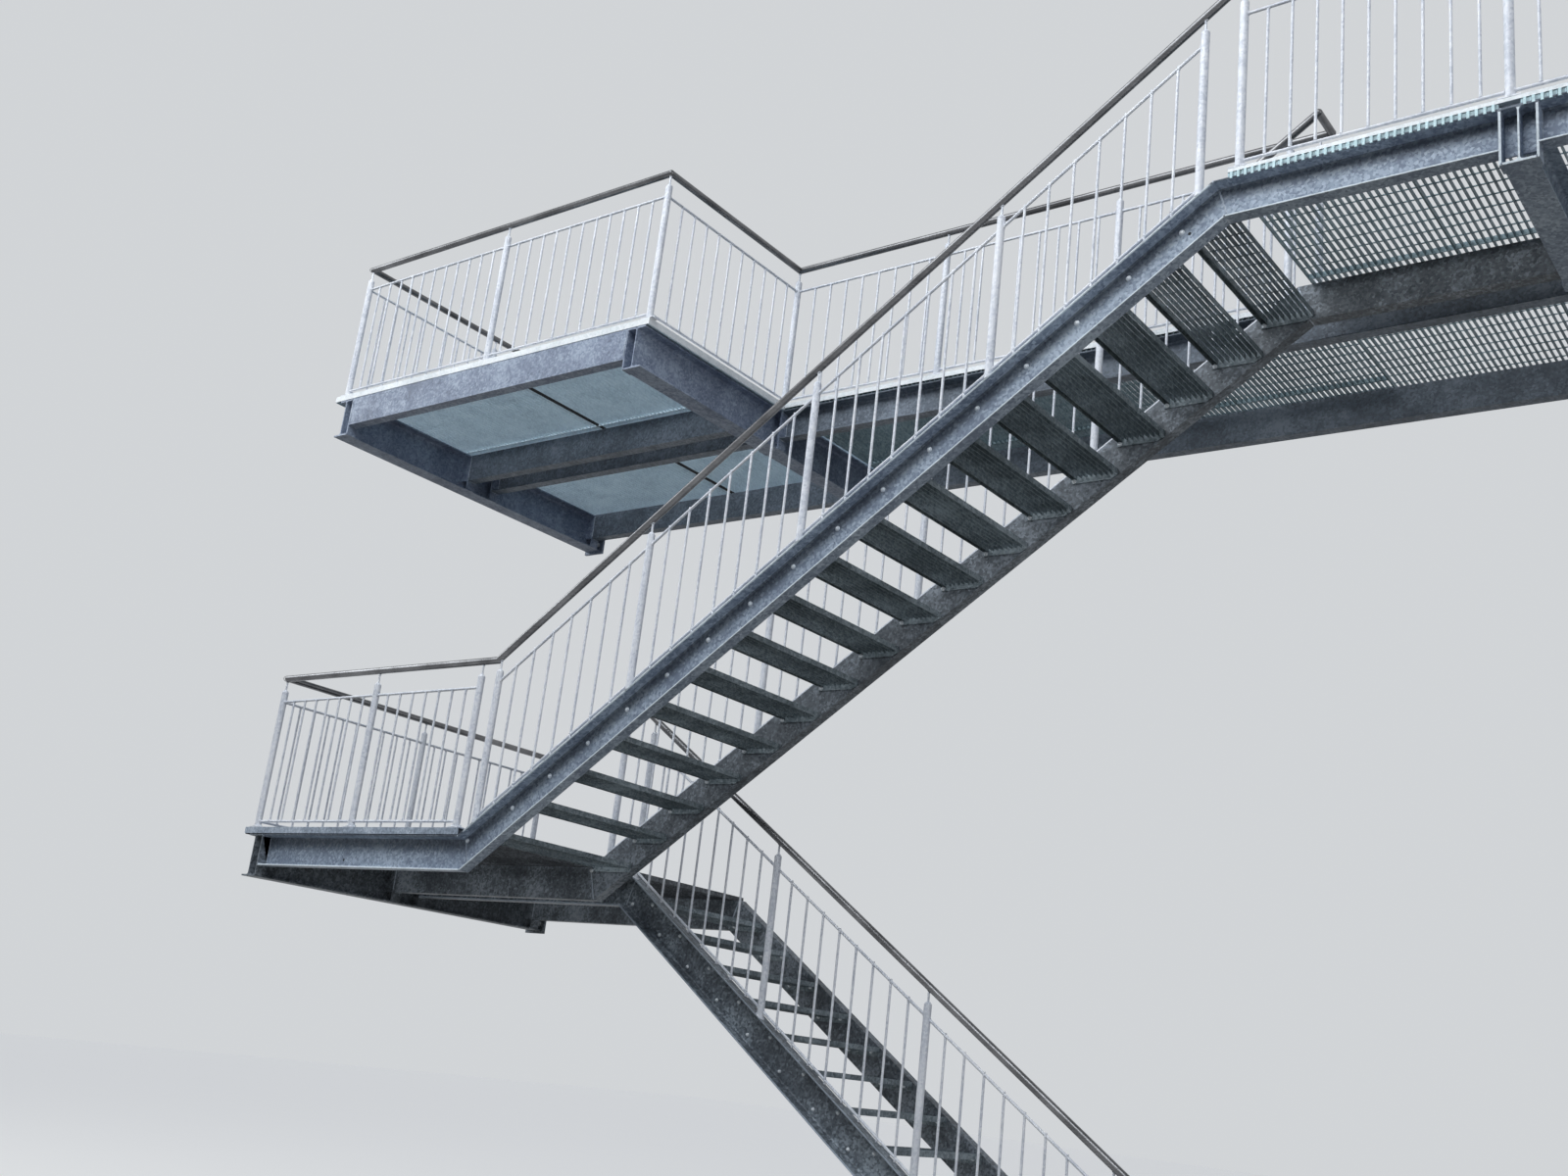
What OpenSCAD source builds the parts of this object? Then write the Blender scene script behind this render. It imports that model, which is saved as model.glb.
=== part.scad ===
// Fire escape stair of galvanised steel, carried by cantilevers on a wall.
// Two lanes side by side: lane A outside, lane B next to the wall.
// X runs along the wall, Y into the wall, Z up. Origin: the wall face of the
// landing cantilever's end plate, at mid height of the beam.

/* [Stair] */
// Height from one tread to the next
rise = 180; // [160:1:200]
// Depth from one nosing to the next
going = 260; // [240:1:280]
// Treads in the upper flight
upper_treads_n = 16; // [8:1:16]
// Treads in the lower flight
lower_treads_n = 14; // [6:1:16]
// Clear width between the stringer webs of a lane
lane_w = 1040; // [800:10:1200]
// Space between the inner stringers of the two lanes
lane_gap = 160; // [120:5:220]
// Space between the wall and the stringer next to it
wall_gap = 60; // [40:5:100]
// Depth of a tread from front to back
tread_d = 270; // [262:1:290]

/* [Bays] */
// Distance from the landing cantilever to the foot of the upper flight
landing_len = 1970; // [1700:10:2400]
// Distance between the two balcony cantilevers
balcony_len = 2760; // [2400:10:3000]
// Distance from the head of the upper flight to the next cantilever
platform_len = 1285; // [1000:5:1800]
// Length of the last bay of platform and gallery
end_bay_len = 2760; // [2000:10:3200]

/* [Sections] */
// Height of a cantilever beam
beam_h = 270; // [240:10:330]
// Width of a cantilever beam's flange
beam_b = 135; // [120:5:160]
// Thickness of a cantilever beam's web
beam_tw = 7; // [6:0.5:10]
// Thickness of a cantilever beam's flange
beam_tf = 10; // [8:0.5:14]
// Radius between a cantilever beam's web and flange
beam_r = 15; // [8:0.5:18]
// Height of a stringer channel
chan_h = 200; // [180:5:220]
// Width of a stringer channel's flange
chan_b = 75; // [60:1:90]
// Thickness of a stringer channel's web
chan_tw = 8.5; // [6:0.5:10]
// Thickness of a stringer channel's flange
chan_tf = 11.5; // [8:0.5:14]
// Radius between a channel's web and flange
chan_r = 11.5; // [7:0.5:13]

/* [Gratings] */
// Height of the gratings and their bearing bars
deck_h = 30; // [25:1:40]
// Thickness of a bearing bar
bar_t = 3; // [2:0.5:5]
// Distance between the bearing bars of a deck
deck_pitch = 33.3; // [30:0.1:45]
// Distance between the bearing bars of a tread
tread_pitch = 30; // [25:0.5:40]
// Distance from a deck's rim to its first cross bar
cross_inset = 200; // [130:10:300]
// Longest panel of a deck along the wall
panel_max = 1050; // [800:10:1500]

/* [Railing] */
// Height of the handrail's top over the deck
rail_h = 1035; // [950:5:1150]
// Diameter of the handrail tube
handrail_d = 42.4; // [33:0.1:48.3]
// Diameter of a post tube
post_d = 42.4; // [38:0.1:50]
// Diameter of a horizontal infill rod
rod_d = 16; // [12:1:20]
// Diameter of a baluster rod
baluster_d = 14; // [10:1:16]
// Largest distance between balusters of the landing, the balcony and the platform
baluster_pitch = 121; // [90:1:130]
// Largest distance between balusters of the flights and the gallery
baluster_pitch_wide = 134; // [100:1:140]

/* [Hidden] */
$fn = 32;

// How far a cutting shape goes past what it cuts
over = 1;

// Colours of the galvanised finish
zinc = "#8f99a3";
zinc_dark = "#6f7983";
zinc_pale = "#b4bcc4";
steel_warm = "#8c8684";

// Levels: the walking surface of each floor, and the ground
axis_drop = deck_h + beam_h / 2;
z_land = axis_drop;
z_up = z_land + (upper_treads_n + 1) * rise;
z_ground = z_land - (lower_treads_n + 1) * rise;

// Places along the wall
x_foot = landing_len;
x_head = x_foot + (upper_treads_n + 1) * going;
x_balcony = balcony_len;
x_platform = x_head + platform_len;
x_end = x_platform + end_bay_len;
lower_lag = 60;
x_lower = x_foot + lower_lag;
nose_lag = 40;
x_nose_up = x_foot + nose_lag;
lower_nose_lead = 10;
x_nose_low = x_lower - lower_nose_lead;
slope_len = norm([rise, going]);
slope_angle = atan2(rise, going);
bend_in = chan_h / 2 * tan(slope_angle / 2);

// Places across the lanes, counted from the wall at zero
y_b_wall = -(wall_gap + chan_b);
y_b_out = y_b_wall - lane_w;
y_a_in = y_b_out - chan_b - lane_gap - chan_b;
y_a_out = y_a_in - lane_w;
y_front = y_a_out - chan_b;
y_pair_mid = y_b_out - chan_b - lane_gap / 2;

// End plates that join the channels to the cantilevers
plate_t = 10;
fin_t = 8;
joint_x = beam_b / 2 + plate_t;
wall_plate_t = 20;
wall_plate_w = 190;
wall_plate_over = 20;
wall_plate_h = beam_h + 2 * wall_plate_over;
wall_hole_d = 22;
wall_hole_x = 42;
wall_hole_z = 80;

// Decks
deck_over_left = 130;
deck_over_right = 90;
deck_over_wall = 20;
bend_clear = 1;
seam = 2;
strip_t = 4;
strip_h = 15;
strip_w = 60;
strip_left_w = deck_over_left;
strip_leg = 25;
platform_leg = 15;
cross_t = 5;
notch_left = 75;
notch_right = 10;
notch_l = 110;
balcony_panel_a = 1560;
balcony_panel_b = 1640;
platform_panel = 712;

// Railings
rail_inset = 25;
foot_t = 6;
foot_l = 90;
foot_w = 50;
rail_z = rail_h - handrail_d / 2;
pin_l = 58;
post_top = rail_h - handrail_d - pin_l;
cap_h = 14;
pin_d = 12;
rod_drop = 160;
top_rod_z = rail_z - rod_drop;
rod_clear = 40;
low_rod_z = strip_h + rod_clear;
side_x = 40;
seat_gap = 0.3;

// Treads
tread_end_h = 55;
tread_end_t = 5;
tread_heel_h = 34;
tread_heel_l = 40;
nose_w = 32;
nose_t = 3;

// Stringer feet on the ground
foot_plate_t = 12;
foot_margin = 55;
foot_side = 10;
foot_hole_d = 18;
foot_weld = 3;
cut_len = chan_h * slope_len / rise;
foot_plate_l = cut_len + 2 * foot_margin;
foot_hole_pitch = cut_len + foot_margin;

function unit(v) = v / norm(v);
function normal_of(a, b) = let (d = unit(b - a)) [-d[1], d[0]];
function off_point(p, i, d) =
    i == 0 ? p[0] + d * normal_of(p[0], p[1])
    : i == len(p) - 1 ? p[i] + d * normal_of(p[i - 1], p[i])
    : let (n1 = normal_of(p[i - 1], p[i]), n2 = normal_of(p[i], p[i + 1]))
        p[i] + d * (n1 + n2) / (1 + n1 * n2);
// Points of an arc around c, and a list of points mirrored or turned round
arc_n = 4;
function arc(c, r, a0, a1) =
    [for (i = [0:arc_n]) let (a = a0 + (a1 - a0) * i / arc_n) c + r * [cos(a), sin(a)]];
function mirrored(p, sx, sy, back) =
    [for (i = [0:len(p) - 1]) let (q = p[back ? len(p) - 1 - i : i]) [sx * q[0], sy * q[1]]];

// Extrudes a profile drawn in X and Z from y0 to y1
module along_y(y0, y1) {
    translate([0, y1, 0]) rotate([90, 0, 0]) linear_extrude(y1 - y0) children();
}

// Box between two corners
module box(a, b) {
    translate(a) cube(b - a);
}

// Section of a rolled channel: web along Y at x = 0, flanges towards +X that thin out
// to rounded toes
taper = 0.08;
taper_angle = atan(taper);
taper_len = norm([1, taper]);
toe_r = chan_r / 2;
function inner_face(x) = -chan_h / 2 + chan_tf + taper * (chan_b / 2 - x);

function channel_section() =
    let (toe = [chan_b - toe_r, inner_face(chan_b - toe_r) - toe_r * taper_len],
        root = [chan_tw + chan_r, inner_face(chan_tw + chan_r) + chan_r * taper_len],
        lower = concat([[0, -chan_h / 2], [chan_b, -chan_h / 2]],
            arc(toe, toe_r, 0, 90 - taper_angle), arc(root, chan_r, 270 - taper_angle, 180)))
    concat(lower, mirrored(lower, 1, -1, true));

// Section of a rolled beam, centred
module beam_section() {
    root = [beam_tw / 2 + beam_r, beam_h / 2 - beam_tf - beam_r];
    q = concat(arc(root, beam_r, 180, 90), [[beam_b / 2, beam_h / 2 - beam_tf], [beam_b / 2, beam_h / 2]]);
    polygon(concat(q, mirrored(q, -1, 1, true), mirrored(q, -1, -1, false), mirrored(q, 1, -1, true)));
}

// Straight channel along X from x0 to x1, its centre line at z and its web's face at y_face
module straight_channel(x0, x1, z, y_face, side) {
    translate([x0, y_face, z]) rotate([90, 0, 90]) linear_extrude(x1 - x0)
        mirror([side < 0 ? 1 : 0, 0]) polygon(channel_section());
}

// Where the line through a and b, moved up by v, meets the level z
function level_point(a, b, v, z) =
    let (d = unit(b - a), q = a + v * normal_of(a, b)) q + d * (z - q[1]) / d[1];

// Channel swept along a path in the plane of the lane, mitred at its bends; if z_end is
// given, the last leg ends in a level cut there
module bent_channel(path, y_face, side, z_end) {
    section = channel_section();
    n = len(section);
    last = len(path) - 1;
    points = [for (i = [0:last], q = section)
        let (p = i == last && !is_undef(z_end) ? level_point(path[i - 1], path[i], q[1], z_end)
            : off_point(path, i, q[1]))
        [p[0], q[0], p[1]]];
    sides = [for (i = [0:last - 1], k = [0:n - 1])
        let (a = i * n + k, b = i * n + (k + 1) % n) [b, a, a + n, b + n]];
    ends = [[for (k = [0:n - 1]) k], [for (k = [n - 1:-1:0]) last * n + k]];
    translate([0, y_face, 0]) mirror([0, side < 0 ? 1 : 0, 0]) polyhedron(points, concat(sides, ends));
}

// Plate and fin that take the end of one channel on a cantilever
module channel_seat(y_face, side, dir) {
    fl_y = side < 0 ? y_face - chan_b : y_face;
    web_y = side < 0 ? y_face - chan_tw : y_face;
    x0 = dir < 0 ? -joint_x : beam_b / 2;
    box([x0, fl_y, -beam_h / 2], [x0 + plate_t, fl_y + chan_b, beam_h / 2]);
    fx0 = dir < 0 ? -beam_b / 2 : beam_tw / 2;
    fx1 = dir < 0 ? -beam_tw / 2 : beam_b / 2;
    box([fx0, web_y, beam_h / 2 - chan_h], [fx1, web_y + fin_t, beam_h / 2 - beam_tf]);
}

// Cantilever with its wall plate; left and right list the channels it carries
module cantilever(x, z, left, right) {
    lines = [[y_a_out, -1], [y_a_in, 1], [y_b_out, -1], [y_b_wall, 1]];
    translate([x, 0, z]) difference() {
        union() {
            along_y(y_front, -wall_plate_t) beam_section();
            along_y(-wall_plate_t, 0) square([wall_plate_w, wall_plate_h], center = true);
            for (i = left) channel_seat(lines[i][0], lines[i][1], -1);
            for (i = right) channel_seat(lines[i][0], lines[i][1], 1);
        }
        for (sx = [-1, 1], sz = [-1, 1])
            translate([sx * wall_hole_x, over, sz * wall_hole_z]) rotate([90, 0, 0])
                cylinder(h = wall_plate_t + 2 * over, d = wall_hole_d);
    }
}

module landing_cantilever() {
    color(zinc) cantilever(0, 0, [], [0, 1, 2, 3]);
}

z_upper_axis = z_up - axis_drop;

module balcony_left_cantilever() {
    color(zinc) cantilever(0, z_upper_axis, [], [0, 1, 2, 3]);
}

module balcony_right_cantilever() {
    color(zinc) cantilever(x_balcony, z_upper_axis, [0, 1, 2, 3], [2, 3]);
}

module platform_cantilever() {
    color(zinc) cantilever(x_platform, z_upper_axis, [0, 1, 2, 3], [0, 1, 2, 3]);
}

module end_cantilever() {
    color(zinc) cantilever(x_end, z_upper_axis, [0, 1, 2, 3], []);
}

// Centre lines of the stringers, in X and Z
chan_drop = deck_h + chan_h / 2;
upper_path = [
    [joint_x, z_land - chan_drop], [x_foot, z_land - chan_drop],
    [x_head, z_up - chan_drop], [x_platform - joint_x, z_up - chan_drop]
];
z_cut = z_ground + foot_plate_t;
x_cut = x_lower + (z_land - chan_drop - z_cut) * going / rise;
lower_path = [[joint_x, z_land - chan_drop], [x_lower, z_land - chan_drop], [x_cut, z_cut]];

module upper_outer_stringer() {
    color(zinc) bent_channel(upper_path, y_a_out, -1);
}

module upper_inner_stringer() {
    color(zinc) bent_channel(upper_path, y_a_in, 1);
}

// Lower stringer, cut off level and sunk a little into its foot plate
module lower_stringer(y_face, side) {
    mid_y = side < 0 ? y_face - chan_b / 2 : y_face + chan_b / 2;
    bent_channel(lower_path, y_face, side, z_cut - foot_weld);
    difference() {
        box([x_cut - foot_plate_l / 2, mid_y - chan_b / 2 - foot_side, z_ground],
            [x_cut + foot_plate_l / 2, mid_y + chan_b / 2 + foot_side, z_cut]);
        for (s = [-1, 1])
            translate([x_cut + s * foot_hole_pitch / 2, mid_y, z_ground - over])
                cylinder(h = foot_plate_t + 2 * over, d = foot_hole_d);
    }
}

module lower_outer_stringer() {
    color(zinc) lower_stringer(y_b_out, -1);
}

module lower_wall_stringer() {
    color(zinc) lower_stringer(y_b_wall, 1);
}

// Straight beam between two cantilevers on the upper floor
module floor_beam(x0, x1, y_face, side) {
    straight_channel(x0 + joint_x, x1 - joint_x, z_up - chan_drop, y_face, side);
}

// The balcony's front channel stands with its web outwards
module balcony_front_beam() {
    color(zinc) floor_beam(0, x_balcony, y_front, 1);
}

module balcony_inner_beam() {
    color(zinc) floor_beam(0, x_balcony, y_a_in, 1);
}

module platform_front_beam() {
    color(zinc) floor_beam(x_platform, x_end, y_a_out, -1);
}

module platform_inner_beam() {
    color(zinc) floor_beam(x_platform, x_end, y_a_in, 1);
}

gallery_stops = [0, x_balcony, x_platform, x_end];

module gallery_outer_beams() {
    color(zinc) for (i = [0:2]) floor_beam(gallery_stops[i], gallery_stops[i + 1], y_b_out, -1);
}

module gallery_wall_beams() {
    color(zinc) for (i = [0:2]) floor_beam(gallery_stops[i], gallery_stops[i + 1], y_b_wall, 1);
}

// Grating panel, its top at z: bearing bars along Y between an end bar at y1 and, if
// open, free ends at y0, with a cross bar inset from each end
module grating(x0, x1, y0, y1, z, open) {
    n = max(1, round((x1 - x0 - bar_t) / deck_pitch));
    step = (x1 - x0 - bar_t) / n;
    rows = open
        ? [[y0 - over, y0 + cross_inset], [y0 + cross_inset + cross_t, y1 - cross_inset - cross_t],
            [y1 - cross_inset, y1 - bar_t]]
        : [[y0 + bar_t, y1 - bar_t]];
    translate([0, 0, z - deck_h]) linear_extrude(deck_h) difference() {
        translate([x0, y0]) square([x1 - x0, y1 - y0]);
        for (k = [0:n - 1], r = rows)
            translate([x0 + bar_t + k * step, r[0]]) square([step - bar_t, r[1] - r[0]]);
    }
}

// Row of panels between the places in stops, a seam apart
module panels(stops, y0, y1, z, open) {
    last = len(stops) - 1;
    for (i = [0:last - 1])
        grating(stops[i] + (i > 0 ? seam / 2 : 0), stops[i + 1] - (i < last - 1 ? seam / 2 : 0),
            y0, y1, z, open);
}

function even_stops(a, b) = let (n = ceil((b - a) / panel_max)) [for (i = [0:n]) a + (b - a) * i / n];

y_deck_wall = -wall_gap + deck_over_wall;
x_deck_left = -deck_over_left;
x_land_end = x_foot - bend_in - bend_clear;
x_balcony_right = x_balcony + deck_over_right;
x_deck_end = x_end + deck_over_right;
x_nose_top = x_nose_up + (upper_treads_n + 1) * going;
y_gallery_edge = y_b_out - chan_b;
x_bars_left = x_deck_left + strip_t;
x_bars_end = x_deck_end - strip_t;
y_bars_front = y_front + strip_t;

module landing_deck() {
    color(zinc_dark) {
        panels(even_stops(x_bars_left, x_land_end), y_bars_front, y_pair_mid - seam / 2, z_land, true);
        panels(even_stops(x_bars_left, x_nose_low), y_pair_mid + seam / 2, y_deck_wall, z_land, false);
    }
}

module balcony_deck() {
    color(zinc_pale) {
        panels([x_bars_left, x_deck_left + balcony_panel_a, x_balcony_right - strip_t],
            y_bars_front, y_pair_mid - seam / 2, z_up, true);
        panels([x_bars_left, x_deck_left + balcony_panel_b, x_balcony_right - strip_t],
            y_pair_mid + seam / 2, y_deck_wall, z_up, false);
    }
}

// The platform's panels leave a notch over the end of the cantilever
module platform_deck() {
    x_meet = x_platform + notch_right;
    color(zinc_pale) difference() {
        union() {
            panels([x_nose_top, x_nose_top + platform_panel, x_meet - seam / 2],
                y_bars_front, y_pair_mid - seam / 2, z_up, true);
            panels(even_stops(x_meet + seam / 2, x_bars_end),
                y_bars_front, y_pair_mid - seam / 2, z_up, true);
        }
        box([x_platform - notch_left, y_front, z_up - deck_h - over],
            [x_meet, y_front + notch_l, z_up + over]);
    }
}

module gallery_deck() {
    color(zinc_pale) {
        panels(even_stops(x_balcony_right + seam, x_nose_top - seam / 2),
            y_gallery_edge + strip_t, y_deck_wall, z_up, true);
        panels(even_stops(x_nose_top + seam / 2, x_bars_end),
            y_pair_mid + seam / 2, y_deck_wall, z_up, false);
    }
}

// One tread between the webs of its lane, nosing at x = 0 and top at z = 0: bearing
// bars welded half way into two end plates, with a plate over the first gap
module tread(y0, y1, depth, heel) {
    n = max(1, round((depth - bar_t) / tread_pitch));
    step = (depth - bar_t) / n;
    lap = tread_end_t / 2;
    union() {
        translate([0, 0, -deck_h]) linear_extrude(deck_h) difference() {
            translate([0, y0 + lap]) square([depth, y1 - y0 - 2 * lap]);
            for (k = [0:n - 1]) translate([bar_t + k * step, y0]) square([step - bar_t, y1 - y0]);
        }
        box([0, y0 + lap, -nose_t], [nose_w, y1 - lap, 0]);
        for (y = [y0, y1 - tread_end_t])
            along_y(y, y + tread_end_t) polygon(heel
                ? [[0, 0], [0, -tread_end_h], [depth - tread_heel_l, -tread_end_h],
                    [depth, -tread_heel_h], [depth, 0]]
                : [[0, 0], [0, -tread_end_h], [depth, -tread_end_h], [depth, 0]]);
    }
}

x_step0 = x_land_end + seam;

module upper_treads() {
    color(zinc_dark) {
        translate([x_step0, 0, z_land])
            tread(y_a_out, y_a_in, x_nose_up + tread_d - x_step0, false);
        for (k = [1:upper_treads_n])
            translate([x_nose_up + k * going, 0, z_land + k * rise])
                tread(y_a_out, y_a_in, tread_d, true);
    }
}

module lower_treads() {
    color(zinc_dark) for (k = [1:lower_treads_n])
        translate([x_nose_low + k * going, 0, z_land - k * rise]) mirror([1, 0, 0])
            tread(y_b_out, y_b_wall, tread_d, false);
}

// Folded edge cap along X on the rim of a deck, from y_edge inwards; its front leg hangs
// down over the ends of the bars
module strip_x(x0, x1, y_edge, z, leg) {
    box([x0, y_edge, z - leg], [x1, y_edge + strip_t, z + strip_h]);
    box([x0, y_edge, z + strip_h - strip_t], [x1, y_edge + strip_w, z + strip_h]);
    box([x0, y_edge + strip_w - strip_t, z], [x1, y_edge + strip_w, z + strip_h]);
}

// The same along Y, from x_edge inwards; side is -1 on a left rim and 1 on a right one
module strip_y(y0, y1, x_edge, z, w, leg, side) {
    translate([x_edge, 0, 0]) mirror([side > 0 ? 1 : 0, 0, 0]) {
        box([0, y0, z - leg], [strip_t, y1, z + strip_h]);
        box([0, y0, z + strip_h - strip_t], [w, y1, z + strip_h]);
        box([w - strip_t, y0, z], [w, y1, z + strip_h]);
    }
}

module landing_edge_strip() {
    color(zinc_pale) union() {
        strip_x(x_deck_left, x_land_end, y_front, z_land, strip_leg);
        strip_y(y_front, y_deck_wall, x_deck_left, z_land, strip_left_w, strip_leg, -1);
    }
}

module balcony_edge_strip() {
    color(zinc_pale) union() {
        strip_x(x_deck_left, x_balcony_right, y_front, z_up, strip_leg);
        strip_y(y_front, y_deck_wall, x_deck_left, z_up, strip_left_w, strip_leg, -1);
        strip_y(y_front, y_gallery_edge + strip_w, x_balcony_right, z_up, strip_w, strip_leg, 1);
    }
}

module platform_edge_strip() {
    color(zinc_pale) union() {
        strip_x(x_nose_top, x_deck_end, y_front, z_up, platform_leg);
        strip_y(y_front, y_deck_wall, x_deck_end, z_up, strip_w, platform_leg, 1);
    }
}

module gallery_edge_strip() {
    color(zinc_pale) union()
        strip_x(x_balcony_right + seam, x_nose_top - seam, y_gallery_edge, z_up, platform_leg);
}

// Straight round bar between two points
module bar(a, b, d) {
    v = b - a;
    l = norm(v);
    translate(a) rotate([0, acos(v[2] / l), atan2(v[1], v[0])]) cylinder(h = l, d = d);
}

// Post tube from z0 up to z1 with a tapered cap and the pin that carries the handrail
module post(p, z0, z1, z_pin) {
    r = post_d / 2;
    translate([p[0], p[1], 0]) rotate_extrude() polygon([[0, z0], [r, z0], [r, z1 - cap_h],
        [r / 2, z1], [pin_d / 2, z1], [pin_d / 2, z_pin], [0, z_pin]]);
}

// Balusters between two rods that run from a to b in plan; rods rise by dz
module infill(a, b, lo, hi, dz, n) {
    bar([a[0], a[1], lo], [b[0], b[1], lo + dz], rod_d);
    bar([a[0], a[1], hi], [b[0], b[1], hi + dz], rod_d);
    for (k = [1:n - 1])
        translate([a[0] + (b[0] - a[0]) * k / n, a[1] + (b[1] - a[1]) * k / n, lo + dz * k / n])
            cylinder(h = hi - lo, d = baluster_d);
}

// Level railing along points on one line; the ends in skip meet a post of another panel
module level_railing(points, z, skip = [], pitch = baluster_pitch) {
    last = len(points) - 1;
    dir = unit(points[last] - points[0]);
    trim = post_d / 2 + seat_gap;
    q = [for (i = [0:last]) points[i] + (len(search(i, skip)) > 0 ? (i == 0 ? 1 : -1) * trim * dir : [0, 0])];
    along_x = abs(dir[0]) > 0.5;
    union() {
        for (i = [0:last]) if (len(search(i, skip)) == 0) {
            p = points[i];
            post(p, z + strip_h, z + post_top, z + rail_z - handrail_d / 2 - seat_gap);
            fx = along_x ? foot_l : foot_w;
            fy = along_x ? foot_w : foot_l;
            box([p[0] - fx / 2, p[1] - fy / 2, z + strip_h],
                [p[0] + fx / 2, p[1] + fy / 2, z + strip_h + foot_t]);
        }
        for (i = [0:last - 1])
            infill(q[i], q[i + 1], z + low_rod_z, z + top_rod_z, 0,
                max(1, ceil(norm(q[i + 1] - q[i]) / pitch)));
    }
}

// Height of the pitch line through the nosings of a flight, over x
function pitch_up(x) = z_land + (x - x_nose_up) * rise / going;
function pitch_low(x) = z_land - (x - x_nose_low) * rise / going;
half_depth = chan_h / 2 * slope_len / going;
function top_up(x) = z_land - chan_drop + (x - x_foot) * rise / going + half_depth;
function top_low(x) = z_land - chan_drop - (x - x_lower) * rise / going + half_depth;

// Railing on a flight: xs are the posts; dir is 1 for the upper flight, -1 for the lower
module flight_railing(xs, y, dir) {
    function pitch(x) = dir > 0 ? pitch_up(x) : pitch_low(x);
    function seat(x) = dir > 0 ? top_up(x) : top_low(x);
    pin_cut = (handrail_d * slope_len + pin_d * rise) / (2 * going) + seat_gap;
    union() {
        for (x = xs) difference() {
            post([x, y], seat(x) - post_d, pitch(x) + post_top, pitch(x) + rail_z - pin_cut);
            translate([x, y, seat(x)]) rotate([0, -dir * slope_angle, 0])
                box([-2 * post_d, -post_d, -3 * post_d], [2 * post_d, post_d, 0]);
        }
        for (i = [0:len(xs) - 2])
            infill([xs[i], y], [xs[i + 1], y], seat(xs[i]) + rod_clear, pitch(xs[i]) + top_rod_z,
                seat(xs[i + 1]) - seat(xs[i]), ceil((xs[i + 1] - xs[i]) / baluster_pitch_wide));
    }
}

y_rail = y_front + rail_inset;
y_rail_a_in = y_a_in + chan_b - rail_inset;
y_rail_b_out = y_gallery_edge + rail_inset;
x_rail_left = -side_x;
x_rail_right = x_balcony_right - rail_inset;
x_rail_end = x_deck_end - rail_inset;
wall_post_gap = 150;
y_rail_wall = -wall_post_gap;

foot_post_back = 85;
gallery_post_back = 60;
post_over_beam = 33;
flight_post_in = 70;
flight_post_back = 107;
flight_post_first = x_foot + flight_post_in;
flight_post_last = x_head - flight_post_back;
flight_posts = [for (k = [0:4]) flight_post_first + (flight_post_last - flight_post_first) * k / 4];
lower_post_in = 50;
lower_post_first = x_lower + lower_post_in;
lower_post_back = 215;
lower_post_last = x_lower + lower_treads_n * going - lower_post_back;
lower_posts = [for (k = [0:3]) lower_post_first + (lower_post_last - lower_post_first) * k / 3];

module side_railing(x, z) {
    level_railing([[x, y_rail], [x, (y_rail_wall + y_rail) / 2], [x, y_rail_wall]], z, [0]);
}

module landing_side_railing() {
    color(zinc_pale) side_railing(x_rail_left, z_land);
}

module landing_front_railing() {
    x1 = x_foot - foot_post_back;
    color(zinc_pale) level_railing([[x_rail_left, y_rail], [(x_rail_left + x1) / 2, y_rail],
        [x1, y_rail]], z_land);
}

module upper_outer_railing() {
    color(zinc_pale) flight_railing(flight_posts, y_rail, 1);
}

module upper_inner_railing() {
    color(zinc_pale) flight_railing(flight_posts, y_rail_a_in, 1);
}

module lower_outer_railing() {
    color(zinc_pale) flight_railing(lower_posts, y_rail_b_out, -1);
}

module balcony_left_railing() {
    color(zinc_pale) side_railing(x_rail_left, z_up);
}

module balcony_front_railing() {
    xm = (x_rail_left + x_rail_right) / 2;
    color(zinc_pale) level_railing([[x_rail_left, y_rail], [xm, y_rail], [x_rail_right, y_rail]], z_up);
}

module balcony_right_railing() {
    color(zinc_pale) level_railing([[x_rail_right, y_rail], [x_rail_right, y_rail_b_out]], z_up, [0]);
}

gallery_post_end = x_nose_top - gallery_post_back;

module gallery_railing() {
    color(zinc_pale) level_railing(
        [for (k = [0:3]) [x_rail_right + (gallery_post_end - x_rail_right) * k / 3, y_rail_b_out]],
        z_up, [0], baluster_pitch_wide);
}

platform_post_first = x_nose_top + foot_l / 2;

module platform_front_railing() {
    xp = x_platform - post_over_beam;
    color(zinc_pale) level_railing([[platform_post_first, y_rail], [xp, y_rail],
        [(xp + x_rail_end) / 2, y_rail], [x_rail_end, y_rail]], z_up);
}

module end_railing() {
    color(zinc_pale) side_railing(x_rail_end, z_up);
}

// Handrail tube through a list of points; its bends are rounded in a ground weld a
// little thicker than the tube
weld_proud = 1;

module handrail(points) {
    last = len(points) - 1;
    union() {
        for (i = [0:last - 1]) bar(points[i], points[i + 1], handrail_d);
        for (i = [1:last - 1])
            knuckle(points[i], unit(points[i - 1] - points[i]), unit(points[i + 1] - points[i]));
    }
}

// Ball at the bend p of two legs that run off along a and b; its poles lie in the legs
module knuckle(p, a, b) {
    z = unit(a - b);
    x = unit(a + b);
    y = cross(z, x);
    multmatrix([for (i = [0:2]) [x[i], y[i], z[i], p[i]]]) sphere(d = handrail_d + weld_proud);
}

rail_wall_gap = 60;
foot_joint_back = 90;
zl = z_land + rail_z;
zu = z_up + rail_z;
x_bend_up = x_nose_up;
x_bend_head = x_nose_top;
x_return = x_bend_up - foot_joint_back;
x_gallery_joint = x_bend_head - foot_joint_back;

module landing_handrail() {
    color(steel_warm) handrail([[x_rail_left, -rail_wall_gap, zl], [x_rail_left, y_rail, zl],
        [x_foot - foot_joint_back, y_rail, zl]]);
}

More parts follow.
